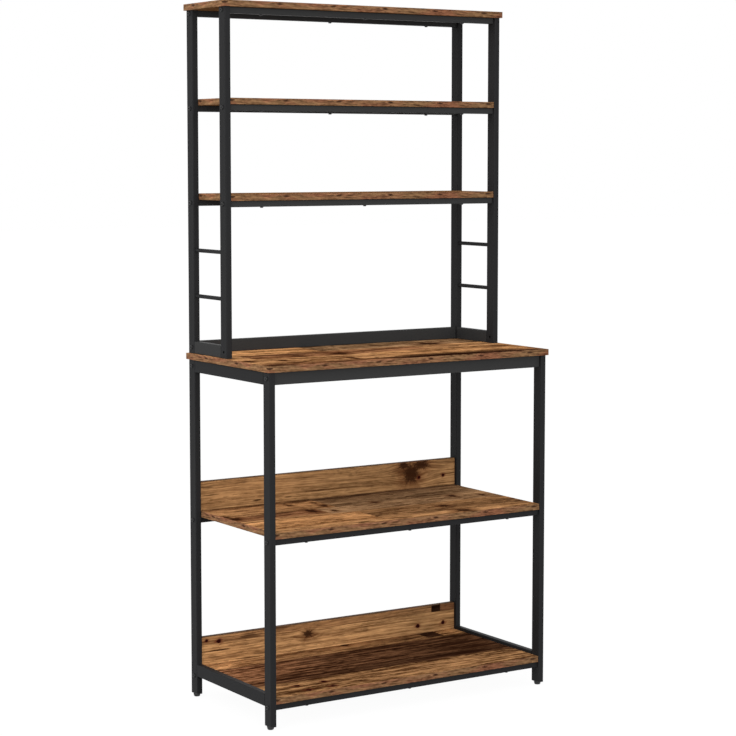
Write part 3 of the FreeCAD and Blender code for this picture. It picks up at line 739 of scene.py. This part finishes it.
LINED_GRAIN = (0.14, 0.18, 0.46, 0.42, 0.2)
films["middle_back_board"] = printed_wood(
    "middle_back_board",
    ("tan", 0.95),
    [],
    seed=31.0,
    shades=[(0.36, 0.5, 0.2, 0.3, 0.9), (0.06, 0.5, 0.24, 0.3, 0.8)],
    drawn=3.0,
    specks=0.3,
    grain=LINED_GRAIN,
    streaks=[
        (-0.217, 0.473, 0.024, 0.0026, 1.0), (-0.35, 0.497, 0.03, 0.0022, 0.8),
        (-0.13, 0.473, 0.014, 0.0024, 0.8), (-0.362, 0.516, 0.03, 0.0020, 0.7),
        (-0.02, 0.487, 0.03, 0.0018, 0.5), (-0.05, 0.480, 0.02, 0.0018, 0.5),
    ],
    knots=[(0.241, 0.500, 0.034, 0.031), (0.272, 0.521, 0.032, 0.016), (0.218, 0.524, 0.020, 0.012)],
    nails=[(0.342, 0.489, 0.0050), (0.266, 0.489, 0.0048)],
    bulges=[(0.243, 0.503, 0.12, 0.05)],
)
films["bottom_back_board"] = printed_wood(
    "bottom_back_board",
    ("tan", 1.22),
    [
        ("oak", 1.06, -OUT, 0.306, 0.127, OUT),
        ("russet", 0.85, 0.306, OUT, 0.126, OUT),
        ("peat", 0.6, 0.307, 0.334, 0.126, OUT),
    ],
    seed=41.0,
    soft=1.0 * MM,
    shades=[(0.34, 0.1, 0.3, 0.3, 0.72)],
    joint=0.5,
    drawn=3.0,
    specks=0.3,
    grain=LINED_GRAIN,
    streaks=[
        (-0.325, 0.109, 0.026, 0.0024, 0.9), (-0.24, 0.136, 0.035, 0.007, 0.7),
        (-0.2, 0.085, 0.05, 0.003, 0.6), (-0.15, 0.142, 0.03, 0.004, 0.6),
        (-0.25, 0.079, 0.05, 0.004, 0.6), (0.1, 0.107, 0.008, 0.008, 0.4),
    ],
    knots=[(-0.073, 0.118, 0.018, 0.013)],
    nails=[
        (-0.364, 0.136, 0.0045), (-0.330, 0.131, 0.0066),
        (0.263, 0.096, 0.0064), (0.343, 0.096, 0.0064),
    ],
    bulges=[(-0.073, 0.118, 0.05, 0.025)],
)
print("films:", films["middle_back_board"].name, films["bottom_back_board"].name)


# %% [markdown]
# The boards above the eye
#
# The photograph shows only the edges of the three upper boards, so their faces take planks of the same
# kinds, each board with its own numbers. A loop moves the marks a little further along on each board,
# so that no two boards look alike.

# %% Films of the upper boards

UPPER_GROUND = ("oak", 1.05)
UPPER_PLANKS = [
    ("honey", 0.98, -OUT, 0.12, 0.13, OUT),
    ("grey", 1.12, 0.12, OUT, 0.12, OUT),
    ("russet", 0.95, -0.22, OUT, 0.03, 0.075),
    ("honey", 0.95, -OUT, -0.22, -OUT, 0.075),
]
UPPER_SEED, UPPER_SEED_STEP = 51.0, 10
UPPER_SHIFT = 90.0 * MM
for count, node in enumerate(("lower_hutch_shelf", "upper_hutch_shelf", "top_board")):
    shift = UPPER_SHIFT * count
    films[node] = printed_wood(
        node,
        UPPER_GROUND,
        UPPER_PLANKS,
        seed=UPPER_SEED + UPPER_SEED_STEP * count,
        streaks=[(-0.12 + shift, 0.045, 0.16, 0.010, 0.8), (0.22 - shift, 0.155, 0.09, 0.006, 0.7)],
        knots=[
            (0.17 + shift, 0.065, 0.016, 0.012), (-0.28 + shift, 0.15, 0.020, 0.015),
            (0.02, 0.105, 0.010, 0.008),
        ],
        nails=[(-0.33, 0.05 + 0.1 * shift, 0.0045), (-0.33, 0.02 + 0.1 * shift, 0.0045)],
    )
print(len(films), "printed films")


# %% [markdown]
# Edge banding
#
# The raw edge of a chipboard panel is covered by a thin strip with the same kind of print. On this
# shelf the strip's print repeats: a small dark knot comes back every 148 mm, counted from the board's
# left front corner. So the distance along the edge is wrapped to that length before the knot is drawn.
# The grain of the strip runs a little downhill, which is done by tilting the height before the noise.

# %% Edge strips

BAND_THICKNESS = 0.8 * MM
BAND_REPEAT = 148.0 * MM
BAND_SLOPE = 0.075
BAND_SHINE = 0.06
# painted light on the strips at the board's ends, and painted shade on the strips of the upright back boards
END_STRIP_PAINTED_LIGHT = 0.38
UPRIGHT_STRIP_PAINTED_SHADE = 0.5


class Strip(Finish):
    """The edge strip of one board, drawn in metres along the strip and across it."""

    def __init__(self, node):
        super().__init__(f"{node}_edge_film", Specular_IOR_Level=BAND_SHINE)
        low, high, middle, upright = lie_of(node)
        x, y, z = self.place()
        at_end = abs(x - middle.x) > high.x - middle.x - BAND_THICKNESS
        self.run = at_end * (y - low.y) + (1 - at_end) * (x - low.x)
        self.lap = self.run.repeated(BAND_REPEAT)
        self.height = y - middle.y if upright else z - middle.z
        self.tilted = self.height + self.lap * BAND_SLOPE
        # this strength carries the painted light of the end strips and the painted shade of the upright
        # boards' strips
        self.strength = (UPRIGHT_STRIP_PAINTED_SHADE if upright else 1.0) + END_STRIP_PAINTED_LIGHT * at_end

    def marks(self, across, per_run, per_height, seed, detail):
        """Noise from 0 to 1, so many marks to a metre along the strip and across it."""
        return self.noise(self.point(self.run * per_run, across * per_height, seed), detail)


print("strips repeat every", round(BAND_REPEAT / MM), "mm")


# %% [markdown]
# The print of the strips
#
# Streaks, hairs and clouds make the grain, as on the boards, and a slow noise turns the wood redder in
# places. Short ticks and the knots that come back are the dark marks. The strips at the board's ends
# are drawn lighter, which is painted light, and all strips of the upright back boards darker, which is
# painted shade.

# %% Films of the edges

BAND_TONE = colour(124, 92, 63)
BAND_RED = colour(128, 84, 60)
# marks to a metre along the strip and across it, seed, and detail of the noise
BAND_STREAKS = (16.0, 300.0, 7.0, 3.0)
BAND_HAIRS = (60.0, 900.0, 13.0, 2.0)
BAND_CLOUDS = (55.0, 170.0, 11.0, 3.0)
BAND_REDNESS = (9.0, 30.0, 15.0, 2.0)
BAND_TICKS = (75.0, 330.0, 18.0, 2.0)
BAND_RAGS = (160.0, 260.0, 9.0, 3.0)
RED_CUT = (0.42, 0.62)
TICK_CUT, TICK_STRENGTH = (0.6, 0.72), 0.45
RAG_REACH = 1.1
LEVEL_BY_STREAKS, LEVEL_BY_CLOUDS, LEVEL_BY_HAIRS, LEVEL_OFFSET = 0.5, 0.36, 0.44, -0.15
# place along the repeat, lift, half length and half width in millimetres, and strength
BAND_KNOTS = [
    (2.0, 2.2, 11.0, 3.2, 1.0),
    (130.0, 2.6, 9.0, 2.0, 0.6),
    (75.0, -2.5, 8.0, 1.5, 0.4),
    (40.0, 3.5, 12.0, 1.2, 0.4),
]
BAND_KNOT_CORE, BAND_KNOT_RIM = 0.4, 1.1
BAND_DARK_STRENGTH = 0.88
BAND_ROUGHNESS = (0.6, 0.72)
BAND_RELIEF_BY_DARK, BAND_RELIEF, BAND_RELIEF_STRENGTH = 0.6, 0.08 * MM, 0.4


def edge_film(node):
    """The printed strip round one board."""
    strip = Strip(node)
    streaky = strip.marks(strip.tilted, *BAND_STREAKS).ramp(*NOISE_RANGE)
    hairs = strip.marks(strip.tilted, *BAND_HAIRS).ramp(*NOISE_RANGE)
    cloud = strip.marks(strip.tilted, *BAND_CLOUDS).ramp(*NOISE_RANGE)
    redness = strip.marks(strip.height, *BAND_REDNESS).ramp(*RED_CUT)
    tone = strip.shade(strip.blend(redness, BAND_TONE, BAND_RED), strip.strength)
    level = LEVEL_BY_STREAKS * streaky + LEVEL_BY_CLOUDS * cloud + LEVEL_BY_HAIRS * hairs + LEVEL_OFFSET
    rag = RAG_REACH * (strip.marks(strip.height, *BAND_RAGS) - 0.5)
    dark = strip.marks(strip.tilted, *BAND_TICKS).ramp(*TICK_CUT) * TICK_STRENGTH
    for place, lift, length, width, strength in BAND_KNOTS:
        off = abs(strip.lap - place * MM)
        off = off.least(BAND_REPEAT - off)
        rise = strip.height - lift * MM
        away = strip.distance(off * (1 / (length * MM)) + rag, rise * (1 / (width * MM)) + rag)
        dark = dark.most(away.ramp(BAND_KNOT_CORE, BAND_KNOT_RIM, strength, 0.0))
    wood = grained(strip, tone, level)
    strip.feed("Base Color", strip.blend(dark * BAND_DARK_STRENGTH, wood, CRACK))
    strip.feed("Roughness", hairs.between(*BAND_ROUGHNESS))
    strip.bump(hairs - BAND_RELIEF_BY_DARK * dark, BAND_RELIEF, BAND_RELIEF_STRENGTH)
    return strip.material


edge_films = {node: edge_film(node) for node in films}
print(len(edge_films), "edge films")


# %% [markdown]
# Tools for modelling
#
# The new pieces are modelled with Blender's operators, as by hand. An operator acts on whatever is
# selected, so a few helpers make sure of what that is: nothing, one piece, or just those faces of a
# piece that pass a test.

# %% Tools for modelling


def deselect_all():
    bpy.ops.object.select_all(action="DESELECT")


def select_only(piece):
    deselect_all()
    piece.select_set(True)
    bpy.context.view_layer.objects.active = piece


def active_piece(name):
    """The piece that an operator has just made, under its name."""
    piece = bpy.context.object
    piece.name = name
    return piece


def apply_place():
    """Put the place, turn and scale of the selected piece into its mesh."""
    bpy.ops.object.transform_apply(location=True, rotation=True, scale=True)


def edit_faces(piece, chosen):
    """Go into edit mode with just the faces selected that the test accepts."""
    bpy.ops.object.mode_set(mode="EDIT")
    bpy.ops.mesh.select_mode(type="FACE")
    bpy.ops.mesh.select_all(action="DESELECT")
    bpy.ops.object.mode_set(mode="OBJECT")
    for face in piece.data.polygons:
        face.select = chosen(face)
    bpy.ops.object.mode_set(mode="EDIT")


print("tools for modelling are ready")


# %% [markdown]
# Modelling a board
#
# A board starts as a cube at the panel's size. Its large faces are inset by the thickness of the edge
# strip, which leaves a ring round each face that belongs to the strip, as the end of a real strip
# shows there. All outer edges are then rounded a little, because a strip is always trimmed with a
# rounded cutter, and a perfectly sharp edge would catch no light.

# %% Boards

TRIM_RADIUS = 0.5 * MM
TRIM_STEPS = 3
SHARP_ANGLE = math.radians(40)


def model_board(node):
    """Replace a CAD board by one with edge strips, trimmed edges and printed film."""
    low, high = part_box(node)
    size = high - low
    middle = (low + high) / 2
    deselect_all()
    bpy.ops.mesh.primitive_cube_add(size=1.0, location=middle)
    board = active_piece(f"{node}_panel")
    board.scale = size
    apply_place()
    thin = min(range(3), key=lambda axis: size[axis])
    edit_faces(board, lambda face: abs(face.normal[thin]) > 0.5)
    bpy.ops.mesh.inset(thickness=BAND_THICKNESS, use_individual=True)
    bpy.ops.object.mode_set(mode="OBJECT")
    board.data.materials.append(films[node])
    board.data.materials.append(edge_films[node])
    wide_axes = [axis for axis in range(3) if axis != thin]
    for face in board.data.polygons:
        central = all(abs(face.center[axis] - middle[axis]) < BAND_THICKNESS / 2 for axis in wide_axes)
        face.material_index = 0 if central else 1
    bevel = board.modifiers.new("trimmed_edges", "BEVEL")
    bevel.width = TRIM_RADIUS
    bevel.segments = TRIM_STEPS
    bevel.limit_method = "ANGLE"
    bevel.angle_limit = SHARP_ANGLE
    bpy.ops.object.modifier_apply(modifier=bevel.name)
    bpy.ops.object.shade_smooth_by_angle(angle=SHARP_ANGLE)
    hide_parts(node)
    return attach(board, "frame")


boards = [model_board(node) for node in films]
print(len(boards), "boards modelled")


# %% [markdown]
# Tools for turned pieces
#
# Bolts, screws and feet are round, so each starts as a cylinder or a cone on the upright axis. Rims are
# rounded by a bevel, a shank is drawn out of a head's flat face, and a recess is cut by a Boolean
# modifier. They could be spun from an outline instead, but the recesses would still have to be cut.

# %% Tools for turned pieces

FLAT_ENOUGH = 0.9


def faces_up(face):
    return face.normal.z > FLAT_ENOUGH


def faces_down(face):
    return face.normal.z < -FLAT_ENOUGH


def add_cylinder(name, sides, radius, height, middle):
    """A cylinder on the upright axis, with its middle at a height over the origin."""
    deselect_all()
    place = (0, 0, middle)
    bpy.ops.mesh.primitive_cylinder_add(vertices=sides, radius=radius, depth=height, location=place)
    piece = active_piece(name)
    apply_place()
    return piece


def bevel_faces(piece, chosen, width, segments):
    """Round the rims of the faces that the test accepts."""
    edit_faces(piece, chosen)
    bpy.ops.mesh.bevel(offset=width, segments=segments, affect="EDGES")
    bpy.ops.object.mode_set(mode="OBJECT")


def draw_shank(piece, chosen, shoulder, length):
    """Draw a shank out of a head's flat face, as far in from its rim as the shoulder is wide."""
    edit_faces(piece, chosen)
    bpy.ops.mesh.inset(thickness=shoulder)
    bpy.ops.mesh.extrude_region_move(TRANSFORM_OT_translate={"value": (0, 0, length)})
    bpy.ops.object.mode_set(mode="OBJECT")


def cut(piece, cutter):
    """Take the cutter's shape out of a piece, and the cutter away."""
    boolean = piece.modifiers.new("recess", "BOOLEAN")
    boolean.operation = "DIFFERENCE"
    boolean.object = cutter
    boolean.solver = "EXACT"
    select_only(piece)
    bpy.ops.object.modifier_apply(modifier=boolean.name)
    bpy.data.objects.remove(cutter)


print("tools for turned pieces are ready")


# %% [markdown]
# Copies of a master
#
# Bolts, screws and feet repeat, so each is modelled once at the origin and then copied. A copy gets a
# mesh of its own, and its place is applied to that mesh, so that the copy's object stays at the origin
# as the CAD pieces do. Many small copies on one body are joined into one piece.

# %% Copies


def copy_to(master, place, name):
    """A copy with its own mesh, moved by a placing matrix that is then applied."""
    select_only(master)
    bpy.ops.object.duplicate()
    copy = active_piece(name)
    copy.matrix_world = place
    apply_place()
    return copy


def joined_copies(master, places, name):
    """One piece out of a copy of the master at each place."""
    made = [copy_to(master, place, name) for place in places]
    bpy.data.objects.remove(master)
    select_only(made[0])
    for copy in made[1:]:
        copy.select_set(True)
    bpy.ops.object.join()
    return active_piece(name)


print("a copy has its place in its own mesh")


# %% [markdown]
# The rail bolts
#
# Every cross rail is drawn up between two posts by a bolt at each end, and only the button heads show
# on the outer faces. A button head is a short cylinder whose upper rim is rounded far in, with a hexagon
# socket in the middle. The socket is cut by a Boolean modifier with a six-sided cylinder, which is the
# quickest clean way to put a hexagon into a round face. The bolts are turned by uneven amounts, because
# nobody lines their sockets up.

# %% Rail bolts

HEAD_RADIUS = 5.25 * MM
HEAD_RISE = 3.0 * MM
HEAD_ROUND, HEAD_ROUND_STEPS = 2.3 * MM, 5
SHANK_RADIUS = 3.0 * MM
SHANK_LENGTH = 20.0 * MM
SOCKET_RADIUS = 2.3 * MM
SOCKET_DEPTH = 1.8 * MM
BOLT_SIDES, SOCKET_SIDES = 24, 6
HEAD_SHARP_ANGLE = math.radians(35)
UNEVEN_TURN = 0.7

bolt = add_cylinder("rail_bolt_master", BOLT_SIDES, HEAD_RADIUS, HEAD_RISE, HEAD_RISE / 2)
bevel_faces(bolt, faces_up, HEAD_ROUND, HEAD_ROUND_STEPS)
draw_shank(bolt, faces_down, HEAD_RADIUS - SHANK_RADIUS, -SHANK_LENGTH)
cut(bolt, add_cylinder("socket_cutter", SOCKET_SIDES, SOCKET_RADIUS, 2 * SOCKET_DEPTH, HEAD_RISE))
bpy.ops.object.shade_smooth_by_angle(angle=HEAD_SHARP_ANGLE)
bolt.data.materials.append(black_coat)

shelves = ("worktop", "middle_shelf", "bottom_shelf", "lower_hutch", "upper_hutch", "top_board")
rails = [f"{shelf}_{end}_rail" for shelf in shelves for end in ("front", "rear")]
post_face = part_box("base_front_right_leg")[1].x
bolt_places = []
for rail in rails + ["hutch_rear_guard"]:
    low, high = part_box(rail)
    middle = (low + high) / 2
    for side in (-1, 1):
        seat = Matrix.Translation((side * post_face, middle.y, middle.z))
        outward = Matrix.Rotation(side * math.pi / 2, 4, "Y")
        bolt_places.append(seat @ outward @ Matrix.Rotation(UNEVEN_TURN * len(bolt_places), 4, "Z"))
rail_bolts = joined_copies(bolt, bolt_places, "rail_bolt_heads")
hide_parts("rail_bolts")
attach(rail_bolts, "frame")
print(len(bolt_places), "rail bolts")


# %% [markdown]
# The shelf screws
#
# Short pan-head screws hold each shelf down from below, three to a rail. Their heads hang under the
# rails, where they show as small bumps. Each has a cross recess, cut by two flat bars at right angles,
# because a cross is no more than that at this size.

# %% Shelf screws

PAN_RADIUS = 4.0 * MM
PAN_RISE = 2.5 * MM
PAN_ROUND, PAN_ROUND_STEPS = 1.5 * MM, 4
PAN_SIDES = 20
CROSS_SIZE = Vector((4.6, 1.0, 2.8)) * MM
SCREW_RADIUS = 1.7 * MM
SCREW_LENGTH = 12.0 * MM
SCREW_OUT = 290.0 * MM

screw = add_cylinder("shelf_screw_master", PAN_SIDES, PAN_RADIUS, PAN_RISE, -PAN_RISE / 2)
bevel_faces(screw, faces_down, PAN_ROUND, PAN_ROUND_STEPS)
draw_shank(screw, faces_up, PAN_RADIUS - SCREW_RADIUS, SCREW_LENGTH)
for turn in (0, math.pi / 2):
    deselect_all()
    bpy.ops.mesh.primitive_cube_add(size=1.0, location=(0, 0, -PAN_RISE), rotation=(0, 0, turn))
    bar = active_piece("cross_cutter")
    bar.scale = CROSS_SIZE
    apply_place()
    cut(screw, bar)
bpy.ops.object.shade_smooth_by_angle(angle=HEAD_SHARP_ANGLE)
screw.data.materials.append(black_coat)

screw_places = []
for rail in [rail for rail in rails if not rail.startswith("worktop")]:
    low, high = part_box(rail)
    for x in (-SCREW_OUT, 0.0, SCREW_OUT):
        seat = Matrix.Translation((x, (low.y + high.y) / 2, low.z))
        screw_places.append(seat @ Matrix.Rotation(UNEVEN_TURN * len(screw_places), 4, "Z"))
shelf_screws = joined_copies(screw, screw_places, "shelf_screw_heads")
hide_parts("shelf_screws")
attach(shelf_screws, "frame")
print(len(screw_places), "shelf screws")


# %% [markdown]
# The pads of the levelling feet
#
# Each leg stands on a tapered plastic pad. The pad could be spun from an outline, but it is so plain
# that a cone does as a start. Its sole is rounded more than its collar, as a moulding is where it meets
# the floor.

# %% Foot pads

SOLE_RADIUS = 7.0 * MM
COLLAR_RADIUS = 9.0 * MM
SOLE_ROUND, SOLE_ROUND_STEPS = 1.6 * MM, 5
COLLAR_ROUND, COLLAR_ROUND_STEPS = 0.7 * MM, 3
PAD_SIDES = 40
FEET = [f"{end}_{side}" for end in ("front", "rear") for side in ("left", "right")]


def foot_place(node):
    """From the origin to the middle of a foot piece's lower face."""
    low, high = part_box(node)
    return Matrix.Translation(((low.x + high.x) / 2, (low.y + high.y) / 2, low.z))


low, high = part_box("front_left_foot_pad")
pad_height = high.z - low.z
deselect_all()
bpy.ops.mesh.primitive_cone_add(
    vertices=PAD_SIDES,
    radius1=SOLE_RADIUS,
    radius2=COLLAR_RADIUS,
    depth=pad_height,
    location=(0, 0, pad_height / 2),
)
pad = active_piece("foot_pad_master")
apply_place()
bevel_faces(pad, faces_down, SOLE_ROUND, SOLE_ROUND_STEPS)
bevel_faces(pad, faces_up, COLLAR_ROUND, COLLAR_ROUND_STEPS)
bpy.ops.object.shade_smooth_by_angle(angle=SHARP_ANGLE)
pad.data.materials.append(black_plastic)
for foot in FEET:
    moulding = copy_to(pad, foot_place(f"{foot}_foot_pad"), f"{foot}_foot_pad_moulding")
    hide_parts(f"{foot}_foot_pad")
    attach(moulding, f"{foot}_pad")
bpy.data.objects.remove(pad)
print(len(FEET), "foot pads", round(pad_height / MM, 1), "mm high")


# %% [markdown]
# The studs of the feet
#
# A stud is a core with a thread on it: a small triangle that the Screw modifier sweeps up a helix, one
# pitch to a turn, so that a true thread shows when the foot is screwed out. Its normals are recalculated
# afterwards, because a swept shape can come out inside out. Pads and studs ride on their own bodies,
# because the stud turns while both move down.

# %% Foot studs

THREAD_PITCH = 1.0 * MM
THREAD_CORE = 2.45 * MM
THREAD_STEPS = 20
PLAIN_TURNS = 2
RIDGE_RADIUS = 0.58 * MM
RIDGE_OUT = 0.2 * MM
CORE_ROUND, CORE_ROUND_STEPS = 0.5 * MM, 2
CORE_SIDES = 24

low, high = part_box("front_left_foot_stud")
stud_height = high.z - low.z
deselect_all()
bpy.ops.mesh.primitive_circle_add(
    vertices=3,
    radius=RIDGE_RADIUS,
    fill_type="NOTHING",
    rotation=(math.pi / 2, math.pi / 2, 0),
    location=(THREAD_CORE + RIDGE_OUT, 0, THREAD_PITCH),
)
ridge = active_piece("thread_master")
apply_place()
helix = ridge.modifiers.new("thread", "SCREW")
helix.axis = "Z"
helix.screw_offset = THREAD_PITCH
helix.iterations = int(stud_height / THREAD_PITCH) - PLAIN_TURNS
helix.steps = THREAD_STEPS
helix.render_steps = THREAD_STEPS
bpy.ops.object.modifier_apply(modifier=helix.name)
bpy.ops.object.mode_set(mode="EDIT")
bpy.ops.mesh.select_all(action="SELECT")
bpy.ops.mesh.normals_make_consistent(inside=False)
bpy.ops.object.mode_set(mode="OBJECT")
stud = add_cylinder("foot_stud_master", CORE_SIDES, THREAD_CORE, stud_height, stud_height / 2)
bevel_faces(stud, lambda face: faces_up(face) or faces_down(face), CORE_ROUND, CORE_ROUND_STEPS)
bpy.ops.object.shade_smooth_by_angle(angle=SHARP_ANGLE)
ridge.select_set(True)
bpy.ops.object.join()
stud.data.materials.append(zinc)
for foot in FEET:
    threaded = copy_to(stud, foot_place(f"{foot}_foot_stud"), f"{foot}_foot_stud_threaded")
    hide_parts(f"{foot}_foot_stud")
    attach(threaded, f"{foot}_stud")
bpy.data.objects.remove(stud)
print(len(FEET), "foot studs", round(stud_height / MM, 1), "mm long")


# %% [markdown]
# Finishes on the CAD pieces
#
# The tubes, rods and small parts keep their CAD shapes, so each only gets its finish. The record names
# a material slot for every piece, and one table turns the slot into a finish, which is shorter and
# surer than a line for each piece. The lighter coat of the guards and upper rails comes last; it is
# painted light, which lifts the shade under the boards.

# %% Finishes by slot

finish_of_slot = {
    "steel": charcoal_coat,
    "black_fastener": black_coat,
    "zinc": zinc,
    "plastic": black_plastic,
}
finished = 0
for entry in frame["record"]["subparts"]:
    finish = finish_of_slot.get(entry["material_slot"])
    if finish:
        nodes[entry["node"]].material_slots[0].material = finish
        finished += 1
# painted light: these pieces take the lighter coat against the shade that falls on them under the boards
lighter = ["hutch_rear_guard", "hutch_left_guard", "hutch_right_guard"]
lighter += [rail for rail in rails if "shelf" not in rail]
for node in lighter:
    nodes[node].material_slots[0].material = painted_light_rail_coat
print(finished, "CAD pieces have their finish,", len(lighter), "of them the lighter coat")


# %% [markdown]
# The floor
#
# The shelf stands on a plain white floor. To the camera most of its light is its own, so that it is
# white without more light on the shelf, and the rest is what falls on it, which keeps a soft shadow.
# To the light it is grey, so that it doesn't throw too much back up at the rails.

# %% Floor

FLOOR_SIZE = 60.0
FLOOR_GREY = (0.28, 0.28, 0.28, 1)
FLOOR_ROUGHNESS = 0.9
FLOOR_GLOW = 0.8
FLOOR_GLOW_STRENGTH = 1.2

deselect_all()
bpy.ops.mesh.primitive_plane_add(size=FLOOR_SIZE, location=(0, 0, 0))
floor = active_piece("studio_floor")
paint = Finish("white_floor", Base_Color=FLOOR_GREY, Roughness=FLOOR_ROUGHNESS, Specular_IOR_Level=0.0)
glow = paint.node("ShaderNodeEmission", {}, {"Strength": FLOOR_GLOW_STRENGTH})
lit = Field(paint, paint.shader.outputs[0])
seen = paint.node("ShaderNodeMixShader", {}, {0: FLOOR_GLOW * paint.looked_at(), 1: lit, 2: glow})
paint.lead(seen, "Material Output", "Surface")
floor.data.materials.append(paint.material)
print("floor", FLOOR_SIZE, "m wide")


# %% [markdown]
# Light
#
# An even white dome gives most of the light. A broad softbox at the front left makes the left faces of
# the posts a little lighter than their fronts, and a second one, low in front, lights the rails under
# the boards. To the camera the dome has a strength of one, which is white.

# %% Light

DOME_STRENGTH = 0.9
LAMP_AIM = (0, 0, 0.8)

world = bpy.data.worlds.new("studio")
world.use_nodes = True
bpy.context.scene.world = world
sky = Drawing(world.node_tree)
sky.lead(sky.looked_at().between(DOME_STRENGTH, 1.0), "Background", "Strength")
world.node_tree.nodes["Background"].inputs["Color"].default_value = (1, 1, 1, 1)


def softbox(name, watts, width, height, place):
    """A square-cornered lamp that looks at the middle of the shelf."""
    lamp = bpy.data.lights.new(name, "AREA")
    lamp.energy = watts
    lamp.shape = "RECTANGLE"
    lamp.size = width
    lamp.size_y = height
    stand = bpy.data.objects.new(name, lamp)
    bpy.context.scene.collection.objects.link(stand)
    stand.location = place
    stand.rotation_euler = (Vector(LAMP_AIM) - Vector(place)).to_track_quat("-Z", "Y").to_euler()
    return stand


front_left = softbox("front_left_softbox", watts=60.0, width=2.6, height=2.6, place=(-3.4, -1.2, 2.9))
low_front = softbox("low_front_softbox", watts=95.0, width=3.0, height=2.0, place=(-1.0, -4.6, 1.4))
print("softboxes:", front_left.name, low_front.name)


# %% [markdown]
# Camera
#
# The photograph was taken from a little above the worktop, to the left of the front, with a long lens.
# The place, the turn and the lens were fitted to the edges of the posts and boards. The lens is shifted
# only as far as the framing needs.

# %% Camera

LENS_MM = 102.468
SENSOR_MM = 36.0
FRAMING_SHIFT = -0.03
CAMERA_PLACE = (-2.7729, -4.2964, 1.3247)
TILT_DOWN = 5.201
TURN_RIGHT = 32.808

camera_data = bpy.data.cameras.new("camera")
camera_data.lens = LENS_MM
camera_data.sensor_width = SENSOR_MM
camera_data.shift_y = FRAMING_SHIFT
camera = bpy.data.objects.new("camera", camera_data)
bpy.context.scene.collection.objects.link(camera)
camera.location = CAMERA_PLACE
camera.rotation_euler = (math.radians(90 - TILT_DOWN), 0, math.radians(-TURN_RIGHT))
bpy.context.scene.camera = camera
bpy.context.scene.view_settings.view_transform = "Standard"
print("camera at", [round(v, 3) for v in camera.location])
